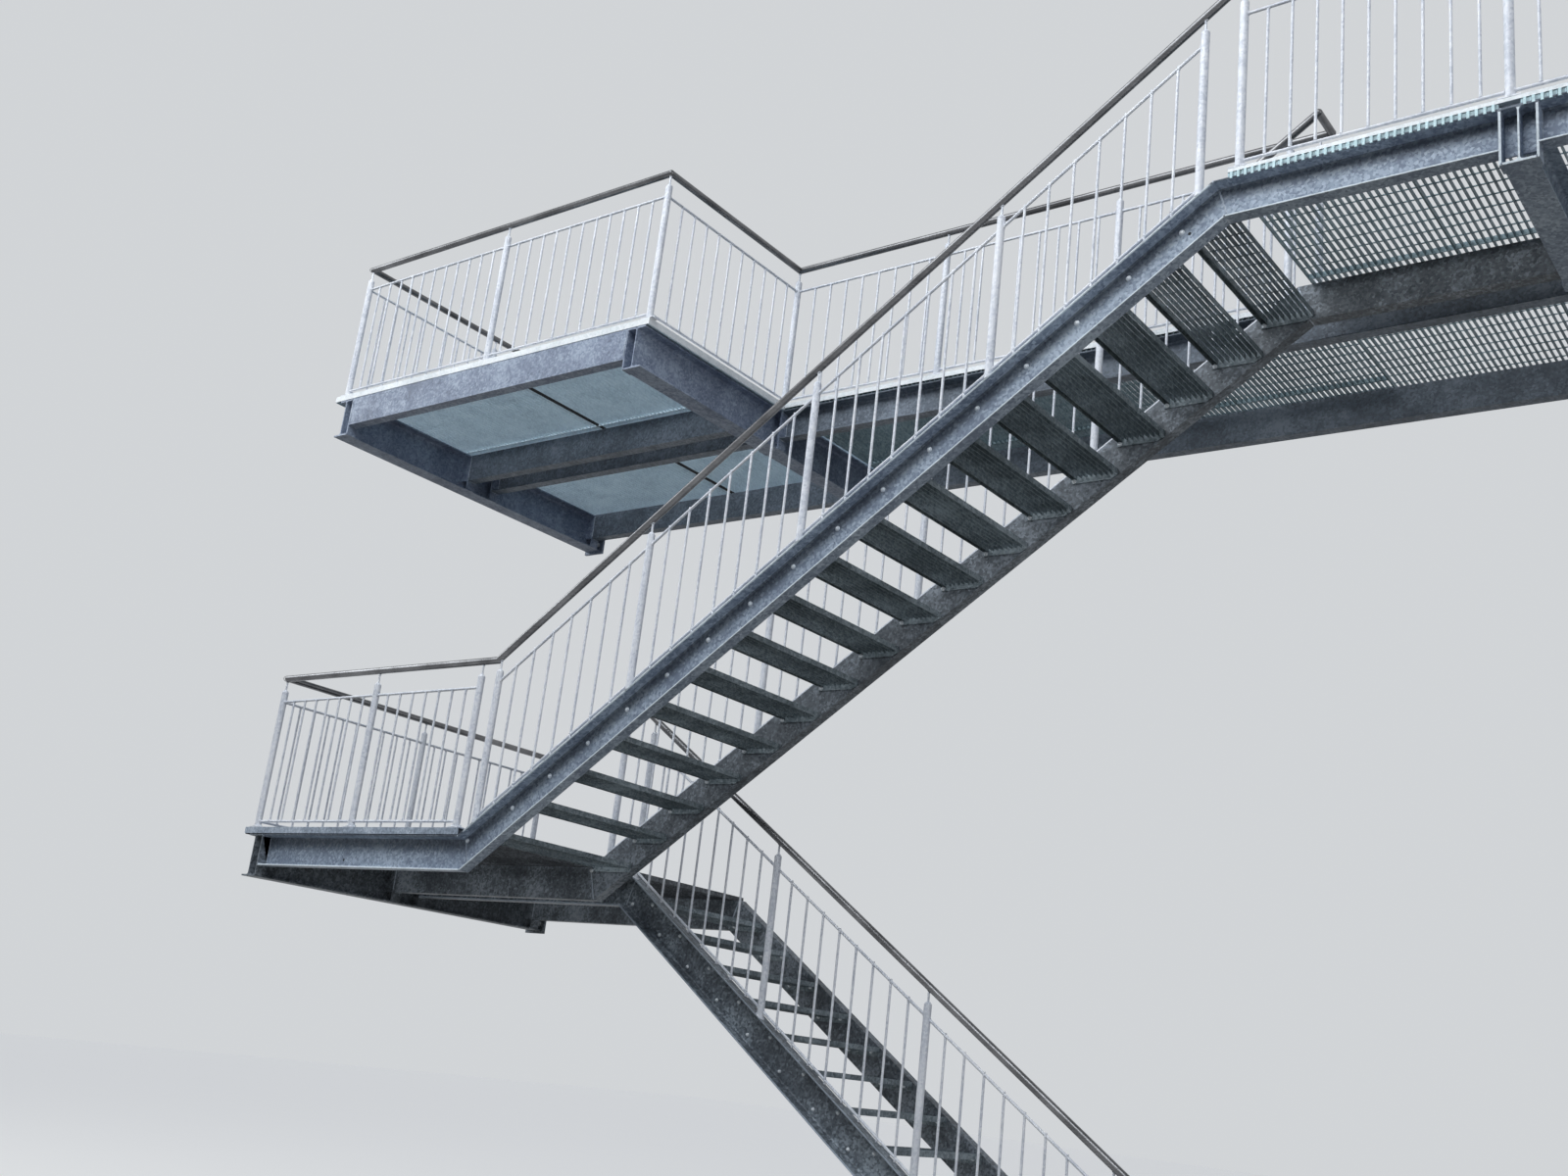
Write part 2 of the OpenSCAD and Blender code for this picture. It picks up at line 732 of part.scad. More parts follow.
module upper_outer_handrail() {
    color(steel_warm) handrail([[x_foot - foot_joint_back, y_rail, zl], [x_bend_up, y_rail, zl],
        [x_bend_head, y_rail, zu], [x_bend_head + foot_joint_back, y_rail, zu]]);
}

// Turns across the gap between the lanes at its foot and at its head
module upper_inner_handrail() {
    color(steel_warm) handrail([[x_return, y_pair_mid, zl], [x_return, y_rail_a_in, zl],
        [x_bend_up, y_rail_a_in, zl], [x_bend_head, y_rail_a_in, zu],
        [x_bend_head, y_rail_b_out, zu], [x_gallery_joint, y_rail_b_out, zu]]);
}

lower_rail_over = 100;

module lower_handrail() {
    x1 = lower_post_last + lower_rail_over;
    color(steel_warm) handrail([[x_return, y_pair_mid, zl], [x_return, y_rail_b_out, zl],
        [x_nose_low, y_rail_b_out, zl], [x1, y_rail_b_out, pitch_low(x1) + rail_z]]);
}

y_joint = y_rail_b_out - foot_joint_back;

module balcony_handrail() {
    color(steel_warm) handrail([[x_rail_left, -rail_wall_gap, zu], [x_rail_left, y_rail, zu],
        [x_rail_right, y_rail, zu], [x_rail_right, y_joint, zu]]);
}

module gallery_handrail() {
    color(steel_warm) handrail([[x_rail_right, y_joint, zu], [x_rail_right, y_rail_b_out, zu],
        [x_gallery_joint, y_rail_b_out, zu]]);
}

module platform_handrail() {
    color(steel_warm) handrail([[x_bend_head + foot_joint_back, y_rail, zu], [x_rail_end, y_rail, zu],
        [x_rail_end, -rail_wall_gap, zu]]);
}

landing_cantilever();
balcony_left_cantilever();
balcony_right_cantilever();
platform_cantilever();
end_cantilever();
upper_outer_stringer();
upper_inner_stringer();
lower_outer_stringer();
lower_wall_stringer();
balcony_front_beam();
balcony_inner_beam();
platform_front_beam();
platform_inner_beam();
gallery_outer_beams();
gallery_wall_beams();
landing_deck();
balcony_deck();
platform_deck();
gallery_deck();
upper_treads();
lower_treads();
landing_edge_strip();
balcony_edge_strip();
platform_edge_strip();
gallery_edge_strip();
landing_side_railing();
landing_front_railing();
upper_outer_railing();
upper_inner_railing();
lower_outer_railing();
balcony_left_railing();
balcony_front_railing();
balcony_right_railing();
gallery_railing();
platform_front_railing();
end_railing();
landing_handrail();
upper_outer_handrail();
upper_inner_handrail();
lower_handrail();
balcony_handrail();
gallery_handrail();
platform_handrail();
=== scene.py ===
"""Fire escape stair of galvanised steel: looks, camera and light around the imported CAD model."""
import math
import random

import bpy
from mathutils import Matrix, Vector


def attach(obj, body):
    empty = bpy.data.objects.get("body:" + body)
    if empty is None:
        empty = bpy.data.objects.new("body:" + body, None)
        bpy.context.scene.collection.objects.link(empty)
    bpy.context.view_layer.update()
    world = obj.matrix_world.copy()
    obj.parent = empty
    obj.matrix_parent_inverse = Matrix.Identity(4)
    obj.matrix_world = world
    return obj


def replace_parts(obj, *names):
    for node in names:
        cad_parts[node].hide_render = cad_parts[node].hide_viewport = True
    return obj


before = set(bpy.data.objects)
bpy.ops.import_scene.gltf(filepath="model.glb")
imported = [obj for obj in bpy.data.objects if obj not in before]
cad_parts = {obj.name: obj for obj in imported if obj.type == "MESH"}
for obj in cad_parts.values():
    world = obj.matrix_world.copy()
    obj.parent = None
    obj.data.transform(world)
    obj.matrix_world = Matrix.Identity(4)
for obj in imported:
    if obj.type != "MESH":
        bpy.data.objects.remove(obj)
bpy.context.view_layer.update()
random.seed(7)

# Sizes in metres, as in the CAD model
RISE, GOING = 0.180, 0.260
SLOPE = RISE / GOING
SLOPE_LEN = math.hypot(RISE, GOING)
UPPER_N, LOWER_N = 16, 14
Z_LAND, Z_UP, Z_GROUND = 0.165, 3.225, -2.535
X_FOOT, X_LOWER = 1.970, 2.030
X_NOSE_UP, X_NOSE_LOW = 2.010, 2.020
X_HEAD = X_FOOT + (UPPER_N + 1) * GOING
X_NOSE_TOP = X_NOSE_UP + (UPPER_N + 1) * GOING
X_BALCONY, X_PLATFORM, X_END = 2.760, 7.675, 10.435
X_DECK_LEFT, X_BALCONY_RIGHT, X_DECK_END = -0.130, 2.850, 10.525
Y_B_WALL, Y_B_OUT, Y_A_IN, Y_A_OUT, Y_FRONT = -0.135, -1.175, -1.485, -2.525, -2.600
Y_MID, Y_GALLERY, Y_DECK_WALL = -1.330, -1.250, -0.040
CHAN_H, CHAN_B, CHAN_TW, CHAN_TF = 0.200, 0.075, 0.0085, 0.0115
BEAM_H, BEAM_B, PLATE_T = 0.270, 0.135, 0.010
DECK_H, STRIP_T, STRIP_H = 0.030, 0.004, 0.015
GAP, SEAM = 0.001, 0.002
CHAN_DROP = DECK_H + CHAN_H / 2
HALF_DEPTH = CHAN_H / 2 * SLOPE_LEN / GOING
X_LAND_END = X_FOOT - CHAN_H / 2 * math.tan(math.atan(SLOPE) / 2) - GAP
TREAD_D, TREAD_END_T, NOSE_W = 0.270, 0.005, 0.032
RAIL_Z, HANDRAIL_R, POST_R, ROD_R, BALUSTER_R, PIN_R = 1.0138, 0.0212, 0.0212, 0.008, 0.007, 0.006
TOP_ROD_Z, LOW_ROD_Z, ROD_CLEAR = 0.8538, 0.055, 0.040
BALUSTER_PITCH, BALUSTER_PITCH_WIDE, SEAT_GAP = 0.121, 0.134, 0.0003
FOOT_T, FOOT_L = 0.006, 0.090
Y_RAIL, Y_RAIL_A_IN, Y_RAIL_B_OUT, Y_RAIL_WALL = -2.575, -1.435, -1.225, -0.150
X_RAIL_LEFT, X_RAIL_RIGHT, X_RAIL_END = -0.040, 2.825, 10.500
HANDRAIL_END, JOINT_BACK = -0.060, 0.090
X_JOINT_FOOT, X_JOINT_HEAD = X_FOOT - JOINT_BACK, X_NOSE_TOP + JOINT_BACK
X_RETURN, X_GALLERY_JOINT = X_NOSE_UP - JOINT_BACK, X_NOSE_TOP - JOINT_BACK

ALONG_X, ALONG_Y, UP, DOWN, TO_FRONT = (1, 0, 0), (0, 1, 0), (0, 0, 1), (0, 0, -1), (0, -1, 0)


# ---------------------------------------------------------------- materials
def new_material(name):
    mat = bpy.data.materials.new(name)
    mat.use_nodes = True
    return mat, mat.node_tree, mat.node_tree.nodes["Principled BSDF"]


def node(tree, kind, **values):
    """New node; values go to its inputs of the same name, or else to its properties."""
    n = tree.nodes.new(kind)
    for key, value in values.items():
        if key in n.inputs:
            n.inputs[key].default_value = value
        else:
            setattr(n, key, value)
    return n


def noise(tree, coord, scale, detail=4.0, rough=0.6, stretch=(1, 1, 1)):
    m = node(tree, "ShaderNodeMapping")
    m.inputs["Scale"].default_value = stretch
    n = node(tree, "ShaderNodeTexNoise", Scale=scale, Detail=detail, Roughness=rough)
    tree.links.new(coord, m.inputs["Vector"])
    tree.links.new(m.outputs["Vector"], n.inputs["Vector"])
    return n.outputs["Fac"]


def math_node(tree, op, a, b):
    n = node(tree, "ShaderNodeMath", operation=op)
    for i, v in enumerate((a, b)):
        if isinstance(v, (int, float)):
            n.inputs[i].default_value = v
        else:
            tree.links.new(v, n.inputs[i])
    return n.outputs[0]


def weighted(tree, terms):
    """Sum of the terms (value, weight)."""
    total, *rest = [math_node(tree, "MULTIPLY", value, weight) for value, weight in terms]
    for term in rest:
        total = math_node(tree, "ADD", total, term)
    return total


def ramp(tree, value, stops):
    r = node(tree, "ShaderNodeValToRGB")
    while len(r.color_ramp.elements) < len(stops):
        r.color_ramp.elements.new(0.5)
    for e, (pos, col) in zip(r.color_ramp.elements, stops):
        e.position = pos
        e.color = (*col, 1)
    tree.links.new(value, r.inputs["Fac"])
    return r.outputs["Color"]


def colour_mix(tree, factor, a, b, blend="MIX"):
    m = node(tree, "ShaderNodeMix", data_type="RGBA", blend_type=blend)
    for value, socket in ((factor, "Factor"), (a, "A"), (b, "B")):
        tree.links.new(value, m.inputs[socket])
    return m.outputs["Result"]


def painted_flange_shade(tree, x, z):
    """Painted shade on a web's front face, darker towards its top flange.

    Returns the grey to multiply the zinc by, and a mask of the faces that look to the front.
    """
    along = math_node(tree, "MINIMUM", math_node(tree, "MAXIMUM", x, X_FOOT), X_HEAD)
    climb = math_node(tree, "MULTIPLY", math_node(tree, "SUBTRACT", along, X_FOOT), SLOPE)
    over_axis = math_node(tree, "SUBTRACT", math_node(tree, "SUBTRACT", z, Z_LAND - CHAN_DROP), climb)
    share = math_node(tree, "MULTIPLY", over_axis, 2 / CHAN_H)
    grey = ramp(tree, share, ((0.0, (1, 1, 1)), (0.55, (0.44, 0.44, 0.44))))
    normal = node(tree, "ShaderNodeSeparateXYZ")
    tree.links.new(node(tree, "ShaderNodeNewGeometry").outputs["Normal"], normal.inputs[0])
    return grey, math_node(tree, "LESS_THAN", normal.outputs["Y"], -0.5)


def painted_highlight_edges(tree, x, z):
    """Mask of the flange edges with the painted highlight: not the top ones along the landing, which lie in
    shade, and along the platform.
    """
    past_landing = math_node(tree, "GREATER_THAN", x, X_FOOT + 0.010)
    low = math_node(tree, "LESS_THAN", z, Z_LAND - CHAN_DROP)
    under_teeth = math_node(tree, "LESS_THAN", z, Z_UP - DECK_H - 0.015)
    return math_node(tree, "MULTIPLY", math_node(tree, "MAXIMUM", past_landing, low), under_teeth)


CELL_SCALE, WARP_SCALE, FINE_SCALE, RUN_SCALE, DENT_SCALE = 75.0, 30.0, 19.0, 5.0, 70.0
CLOUD_SHARE, FINE_SHARE, WARP = 1.25, 0.55, (0.02, 0.02, 0.02)


def galvanised(name, dark, mid, light, metallic, rough, spangle=0.5, cloud=2.6, runs=0.3, specular=0.35,
               front=None, front_colour=None, shaded_under_flange=False):
    """Hot-dip zinc: crystal cells, cloudy patches and faint runs, from the object's own coordinates.

    Faces in front of the plane y = front take front_colour, a painted highlight; on flange edges it is
    also worn bright zinc. With the flange shade on, the front of the web gets painted shade towards the
    top flange, and that flange's edges along the decks keep the zinc's own colour, without the highlight.
    """
    mat, tree, bsdf = new_material(name)
    coord = node(tree, "ShaderNodeTexCoord").outputs["Object"]
    cells = node(tree, "ShaderNodeTexVoronoi", Scale=CELL_SCALE, Randomness=1.0)
    shift = node(tree, "ShaderNodeVectorMath", operation="MULTIPLY_ADD")
    tree.links.new(noise(tree, coord, WARP_SCALE, 2.0), shift.inputs[0])
    shift.inputs[1].default_value = WARP
    tree.links.new(coord, shift.inputs[2])
    tree.links.new(shift.outputs[0], cells.inputs["Vector"])
    crystal = node(tree, "ShaderNodeRGBToBW")
    tree.links.new(cells.outputs["Color"], crystal.inputs[0])
    clouds = noise(tree, coord, cloud, 6.0, 0.62)
    fine = noise(tree, coord, FINE_SCALE, 5.0, 0.7)
    run = noise(tree, coord, RUN_SCALE, 3.0, 0.55, (1, 1, 0.14))
    shares = (spangle, CLOUD_SHARE, FINE_SHARE, runs)
    total = weighted(tree, zip((crystal.outputs[0], clouds, fine, run), shares))
    total = math_node(tree, "DIVIDE", total, sum(shares))
    colour = ramp(tree, total, ((0.40, dark), (0.50, mid), (0.61, light)))
    # Faces in front of the plane y = front: painted highlight, on flange edges also worn bright zinc
    if front is not None:
        place = node(tree, "ShaderNodeSeparateXYZ")
        tree.links.new(coord, place.inputs[0])
        x, y, z = (place.outputs[axis] for axis in "XYZ")
        near = math_node(tree, "LESS_THAN", y, front)
        # Painted shade on the web's front under its top flange, and no painted highlight on that flange's
        # edges along the decks
        if shaded_under_flange:
            grey, facing = painted_flange_shade(tree, x, z)
            colour = colour_mix(tree, facing, colour, grey, "MULTIPLY")
            near = math_node(tree, "MULTIPLY", near, painted_highlight_edges(tree, x, z))
        shade = tuple(c * 0.8 for c in front_colour)
        edge = ramp(tree, total, ((0.40, shade), (0.58, front_colour)))
        colour = colour_mix(tree, near, colour, edge)
    tree.links.new(colour, bsdf.inputs["Base Color"])
    bsdf.inputs["Specular IOR Level"].default_value = specular
    low, high = (rough - 0.09,) * 3, (rough + 0.12,) * 3
    tree.links.new(ramp(tree, fine, ((0.3, high), (0.7, low))), bsdf.inputs["Roughness"])
    bsdf.inputs["Metallic"].default_value = metallic
    b = node(tree, "ShaderNodeBump", Strength=0.10, Distance=0.002)
    tree.links.new(noise(tree, coord, DENT_SCALE, 4.0, 0.65), b.inputs["Height"])
    tree.links.new(b.outputs["Normal"], bsdf.inputs["Normal"])
    return mat


def tube_steel(name, dark, light, rough):
    """Ground stainless tube: fine long scratches and a faint stain."""
    mat, tree, bsdf = new_material(name)
    coord = node(tree, "ShaderNodeTexCoord").outputs["Object"]
    stain = noise(tree, coord, 3.5, 5.0, 0.6)
    scratch = noise(tree, coord, 160.0, 3.0, 0.6, (0.06, 0.06, 1))
    total = weighted(tree, ((stain, 0.7), (scratch, 0.3)))
    tree.links.new(ramp(tree, total, ((0.36, dark), (0.64, light))), bsdf.inputs["Base Color"])
    grain = ramp(tree, scratch, ((0.3, (rough + 0.1,) * 3), (0.7, (rough - 0.06,) * 3)))
    tree.links.new(grain, bsdf.inputs["Roughness"])
    bsdf.inputs["Metallic"].default_value = 1.0
    b = node(tree, "ShaderNodeBump", Strength=0.06, Distance=0.0005)
    tree.links.new(scratch, b.inputs["Height"])
    tree.links.new(b.outputs["Normal"], bsdf.inputs["Normal"])
    return mat


def dark_gap(name):
    """Near black: painted shade of open holes and narrow gaps."""
    mat, _, bsdf = new_material(name)
    bsdf.inputs["Base Color"].default_value = (0.015, 0.016, 0.018, 1)
    bsdf.inputs["Roughness"].default_value = 0.8
    return mat


FRAME_ZINC = galvanised("frame_zinc", (0.15, 0.18, 0.25), (0.235, 0.28, 0.38), (0.38, 0.44, 0.54),
                        0.06, 0.48)
# Darker copy of the frame zinc for the inner and gallery beams and the end cantilever: painted shade
INNER_ZINC = galvanised("inner_beam_zinc", (0.080, 0.097, 0.120), (0.125, 0.152, 0.190), (0.21, 0.245, 0.295),
                        0.06, 0.48)
# Brighter copy of the frame zinc: painted light; painted highlight on its front edges, also worn zinc, and
# painted shade under the top flange
STRINGER_ZINC = galvanised("stringer_zinc", (0.215, 0.255, 0.33), (0.32, 0.38, 0.47), (0.50, 0.57, 0.655),
                           0.03, 0.46, spangle=0.8, specular=0.2,
                           front=Y_FRONT + 0.004, front_colour=(0.76, 0.83, 0.88), shaded_under_flange=True)
# Darker copy of the frame zinc for the landing's cantilever and the inner and wall stringers: painted shade
SHADED_ZINC = galvanised("shaded_zinc", (0.052, 0.060, 0.070), (0.112, 0.128, 0.146), (0.27, 0.30, 0.34),
                       0.06, 0.50)
# Darker copy of the frame zinc for the lower outer stringer: painted shade; its lighter flange edges are
# painted highlight, also worn zinc
LOWER_ZINC = galvanised("lower_stringer_zinc", (0.065, 0.077, 0.092), (0.145, 0.168, 0.195),
                        (0.36, 0.41, 0.46), 0.06, 0.48,
                        front=Y_B_OUT - CHAN_B + 0.004, front_colour=(0.42, 0.48, 0.56))
# Near-white copy of the grating zinc for the balcony's deck and rods: painted light
GRATE_ZINC = galvanised("grating_zinc", (0.57, 0.69, 0.77), (0.67, 0.80, 0.88), (0.74, 0.86, 0.93),
                        0.05, 0.50, cloud=5.0)
# Lighter bar ends along the front edge: painted highlight
OPEN_GRATE = galvanised("platform_grating_zinc", (0.13, 0.19, 0.215), (0.21, 0.29, 0.325), (0.32, 0.42, 0.46),
                        0.05, 0.50, front=Y_FRONT + 0.010, front_colour=(0.60, 0.80, 0.86))
# Tips of the teeth lighter than the bar between them: painted highlight
TOOTH_ZINC = galvanised("toothed_bar_zinc", (0.26, 0.35, 0.375), (0.36, 0.475, 0.51), (0.46, 0.58, 0.62),
                        0.05, 0.46, front=Y_FRONT + 0.002, front_colour=(0.66, 0.86, 0.90))
# Darker copy of the grating zinc for the landing's deck and rods: painted shade
SHADED_GRATE = galvanised("shaded_grating_zinc", (0.055, 0.060, 0.067), (0.10, 0.108, 0.118),
                        (0.22, 0.235, 0.255), 0.08, 0.50)
TREAD_ZINC = galvanised("tread_zinc", (0.105, 0.132, 0.147), (0.19, 0.228, 0.252), (0.36, 0.415, 0.45),
                        0.08, 0.48)
RAIL_ZINC = galvanised("railing_zinc", (0.66, 0.69, 0.76), (0.82, 0.84, 0.90), (0.93, 0.94, 0.98),
                       0.05, 0.42, runs=0.1)
CAP_ZINC = galvanised("edge_cap_zinc", (0.74, 0.78, 0.80), (0.86, 0.89, 0.91), (0.94, 0.96, 0.97), 0.05, 0.42)
# Darker copy of the edge cap zinc for the landing's strip: painted shade
SHADED_CAP = galvanised("shaded_cap_zinc", (0.22, 0.26, 0.32), (0.36, 0.42, 0.51), (0.56, 0.62, 0.70), 0.08, 0.46)
BOLT_ZINC = galvanised("bolt_zinc", (0.66, 0.70, 0.74), (0.82, 0.86, 0.90), (0.93, 0.95, 0.97),
                       0.15, 0.34, spangle=0.1)
WELD_ZINC = galvanised("weld_zinc", (0.24, 0.28, 0.34), (0.38, 0.43, 0.50), (0.56, 0.61, 0.68), 0.08, 0.46)
# Dark colours for stainless steel: painted reflection of dark surroundings
TUBE_STEEL = tube_steel("handrail_steel", (0.092, 0.092, 0.096), (0.225, 0.225, 0.232), 0.28)
DARK_GAP = dark_gap("open_hole")

# The looks of the CAD nodes: of single ones, then of those whose name ends so; the rest has the frame's
NODE_LOOK = {
    "lower_outer_stringer": LOWER_ZINC,
    "landing_edge_strip": SHADED_CAP,
    "landing_deck": SHADED_GRATE,
    "balcony_deck": GRATE_ZINC,
    **dict.fromkeys(("landing_cantilever", "upper_inner_stringer", "lower_wall_stringer"), SHADED_ZINC),
    **dict.fromkeys(("upper_outer_stringer", "platform_front_beam", "platform_cantilever"), STRINGER_ZINC),
    **dict.fromkeys(("balcony_inner_beam", "platform_inner_beam", "gallery_outer_beams", "gallery_wall_beams",
                     "end_cantilever"), INNER_ZINC),
}
KIND_LOOK = {"handrail": TUBE_STEEL, "railing": RAIL_ZINC, "edge_strip": CAP_ZINC, "deck": OPEN_GRATE,
             "treads": TREAD_ZINC}

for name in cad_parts:
    kind = next((mat for end, mat in KIND_LOOK.items() if name.endswith(end)), FRAME_ZINC)
    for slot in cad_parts[name].material_slots:
        slot.material = NODE_LOOK.get(name, kind)


# ---------------------------------------------------------------- mesh helpers
def axes(direction):
    """Unit vectors: along the direction, and two across it."""
    w = Vector(direction).normalized()
    u = w.cross(Vector(UP)) if abs(w.z) < 0.9 else Vector(ALONG_X)
    u.normalize()
    return w, u, w.cross(u)


def ring(radius, sides, phase=0.0):
    angles = [phase + 2 * math.pi * i / sides for i in range(sides)]
    return [(radius * math.cos(a), radius * math.sin(a)) for a in angles]


def spaced(a, b, count):
    """Values from a to b with count equal gaps."""
    return [a + (b - a) * i / count for i in range(count + 1)]


class Mesh:
    """Collects faces of many small solids and makes one object of them."""

    def __init__(self):
        self.verts, self.faces = [], []

    def add(self, verts, faces):
        base = len(self.verts)
        self.verts.extend(tuple(v) for v in verts)
        self.faces.extend([tuple(base + i for i in f) for f in faces])

    def loft(self, loops, closed=False):
        """Skin over loops of equal length; closed joins the last loop to the first, else both are capped."""
        n, m = len(loops[0]), len(loops)
        faces = []
        for j in range(m if closed else m - 1):
            a, b = j * n, (j + 1) % m * n
            faces += [(a + i, a + (i + 1) % n, b + (i + 1) % n, b + i) for i in range(n)]
        if not closed:
            faces += [tuple(range(n - 1, -1, -1)), tuple(range((m - 1) * n, m * n))]
        self.add([p for loop in loops for p in loop], faces)

    def turned(self, at, axis, profile, sides, phase=0.0):
        """Solid of revolution round axis: profile lists (radius, height)."""
        w, u, v = axes(axis)
        at = Vector(at)
        self.loft([[at + u * a + v * b + w * h for a, b in ring(r, sides, phase)] for r, h in profile])

    def object(self, name, mat, slot, smooth=False):
        data = bpy.data.meshes.new(name)
        data.from_pydata(self.verts, [], self.faces)
        data.validate()
        data.materials.append(mat)
        if smooth:
            data.shade_smooth()
        obj = bpy.data.objects.new(name, data)
        bpy.context.scene.collection.objects.link(obj)
        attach(obj, "root")
        return obj


# Nuts: width across the flats, height, and how far the thread stands out
TREAD_NUT, RAIL_NUT = (0.019, 0.010, 0.0), (0.015, 0.007, 0.004)
WALL_NUT, FOOT_NUT = (0.030, 0.016, 0.014), (0.024, 0.013, 0.018)


def bolt(mesh, at, axis, across, head, shank):
    """Washer, hexagon nut with a chamfered rim, and the end of the thread."""
    w, washer_t, chamfer = Vector(axis).normalized(), 0.0025, 0.0015
    at = Vector(at)
    r, washer_r, thread = across / math.sqrt(3), across * 0.63, across * 0.31
    mesh.turned(at, w, [(washer_r, 0), (washer_r, washer_t)], 20)
    nut = [(r, 0), (r, head - chamfer), (r * 0.86, head)]
    mesh.turned(at + w * washer_t, w, nut, 6, random.uniform(0, 1))
    if shank:
        end = [(thread, 0), (thread, shank - 0.001), (thread * 0.8, shank)]
        mesh.turned(at + w * (washer_t + head), w, end, 12)


def dome(mesh, at, axis, radius, height):
    """Round bolt head on a thin washer."""
    at, w = Vector(at), Vector(axis).normalized()
    mesh.turned(at, w, [(radius * 1.12, 0), (radius * 1.12, 0.0012), (radius * 1.06, 0.0018)], 24)
    steps = (0.0, 0.3, 0.6, 0.9, 1.2, 1.45)
    mesh.turned(at + w * 0.0015, w, [(radius * math.cos(t), height * math.sin(t)) for t in steps], 24)


BITE = 0.0008  # how far a weld reaches into the bar that it goes round


def fillet(mesh, at, axis, radius, size, sides=12, tilt=(0, 0, 0)):
    """Weld round a bar where it meets a face; tilt is the slope of that face."""
    w, u, v = axes(axis)
    at, tilt = Vector(at), Vector(tilt)
    loops = []
    for out, up in ((-BITE, 0.0), (size, 0.0), (size * 0.6, size * 0.55), (0.0, size), (-BITE, size)):
        rim = [u * a + v * b for a, b in ring(radius + out, sides)]
        loops.append([at + side + w * (up + side.dot(tilt)) for side in rim])
    mesh.loft(loops, closed=True)


# Section of a weld run over its width and height, and the runs' widths and heights
BEAD = ((-0.5, -0.1), (-0.42, 0.45), (-0.2, 0.9), (0.0, 1.0), (0.2, 0.9), (0.42, 0.45), (0.5, -0.1))
RIPPLE = 0.007
SEAT_RUN, PLATE_RUN = (0.008, 0.004), (0.007, 0.003)
BEND_RUN, BACK_RUN, TIP_RUN = (0.010, 0.0018), (0.010, 0.0015), (0.009, 0.0015)


def bead(mesh, a, b, normal, run):
    """Rippled run of weld from a to b on a face with this normal."""
    width, height = run
    a, b, n = Vector(a), Vector(b), Vector(normal).normalized()
    side = (b - a).normalized().cross(n)
    count = max(2, round((b - a).length / RIPPLE))
    loops = []
    for i in range(count + 1):
        swell = 0.86 + 0.14 * (i % 2) + random.uniform(-0.05, 0.05)
        at = a.lerp(b, i / count)
        loops.append([at + side * (s * width * swell) + n * (h * height * swell) for s, h in BEAD])
    mesh.loft(loops)


# ---------------------------------------------------------------- cross rods of the gratings
ROD_PITCH, ROD_HALF, ROD_SINK, TWIST_STEP = 0.100, 0.003, 0.0048, 0.0166


def twisted_rod(mesh, x0, x1, y, deck_z):
    """Square rod just under the deck's top, turned by an eighth of a turn each half gap between the bars."""
    z = deck_z - ROD_SINK
    loops = []
    for i, x in enumerate(spaced(x0, x1, max(1, round((x1 - x0) / TWIST_STEP)))):
        section = ring(ROD_HALF * math.sqrt(2), 4, math.pi / 4 * (i + 1))
        loops.append([(x, y + a, z + b) for a, b in section])
    mesh.loft(loops)


def rod_rows(y0, y1):
    n = int((y1 - y0) / ROD_PITCH)
    first = (y0 + y1 - (n - 1) * ROD_PITCH) / 2
    return [first + i * ROD_PITCH for i in range(n)]


def deck_rods(name, areas, z, mat, notch=None):
    """Rods of the areas (x0, x1, y0, y1) of a deck; notch is (x0, x1, y) of a cut-out in its front edge."""
    mesh = Mesh()
    for x0, x1, y0, y1 in areas:
        for y in rod_rows(y0, y1):
            runs = [(x0, x1)]
            if notch and notch[0] > x0 and notch[1] < x1 and y < notch[2]:
                runs = [(x0, notch[0]), (notch[1], x1)]
            for a, b in runs:
                twisted_rod(mesh, a + GAP, b - GAP, y, z)
    mesh.object(name, mat, "grating_steel")


X_BARS_LEFT, X_BARS_END, Y_BARS = X_DECK_LEFT + STRIP_T, X_DECK_END - STRIP_T, Y_FRONT + STRIP_T
LANE_A, LANE_B = (Y_BARS, Y_MID - GAP), (Y_MID + GAP, Y_DECK_WALL)
# Cut-out of the platform's front edge for the cantilever's end: x0, x1 and its back
NOTCH = (X_PLATFORM - 0.075, X_PLATFORM + 0.010, Y_FRONT + 0.110)
deck_rods("landing_cross_rods", [(X_BARS_LEFT, X_LAND_END, *LANE_A), (X_BARS_LEFT, X_NOSE_LOW, *LANE_B)],
          Z_LAND, SHADED_GRATE)
deck_rods("balcony_cross_rods",
          [(X_BARS_LEFT, X_BALCONY_RIGHT - STRIP_T, *lane) for lane in (LANE_A, LANE_B)], Z_UP, GRATE_ZINC)
deck_rods("platform_cross_rods", [(X_NOSE_TOP, X_BARS_END, *LANE_A)], Z_UP, OPEN_GRATE, notch=NOTCH)
deck_rods("gallery_cross_rods", [(X_BALCONY_RIGHT + SEAM, X_NOSE_TOP, Y_GALLERY + STRIP_T, Y_DECK_WALL),
                                 (X_NOSE_TOP, X_BARS_END, *LANE_B)], Z_UP, OPEN_GRATE)


# ---------------------------------------------------------------- treads: rods, nosing studs and bolts
STUD = ((0.0045, -0.0005), (0.0045, 0.0003), (0.0028, 0.0015))
STUD_ROWS, STUDS, STUD_START, STUD_PITCH = (0.009, 0.022), 40, 0.020, 0.0255
HEAD_H, DEEP_TREAD, DEEP_DROP = 0.009, 0.28, 0.008


def nosings(x_nose, way, count):
    """Front edge, rear edge and top of each tread of a flight; way is 1 up, -1 down along X."""
    fronts = [x_nose + k * GOING for k in range(1, count + 1)]
    return [(x, x + way * TREAD_D, Z_LAND + way * k * RISE) for k, x in enumerate(fronts, 1)]


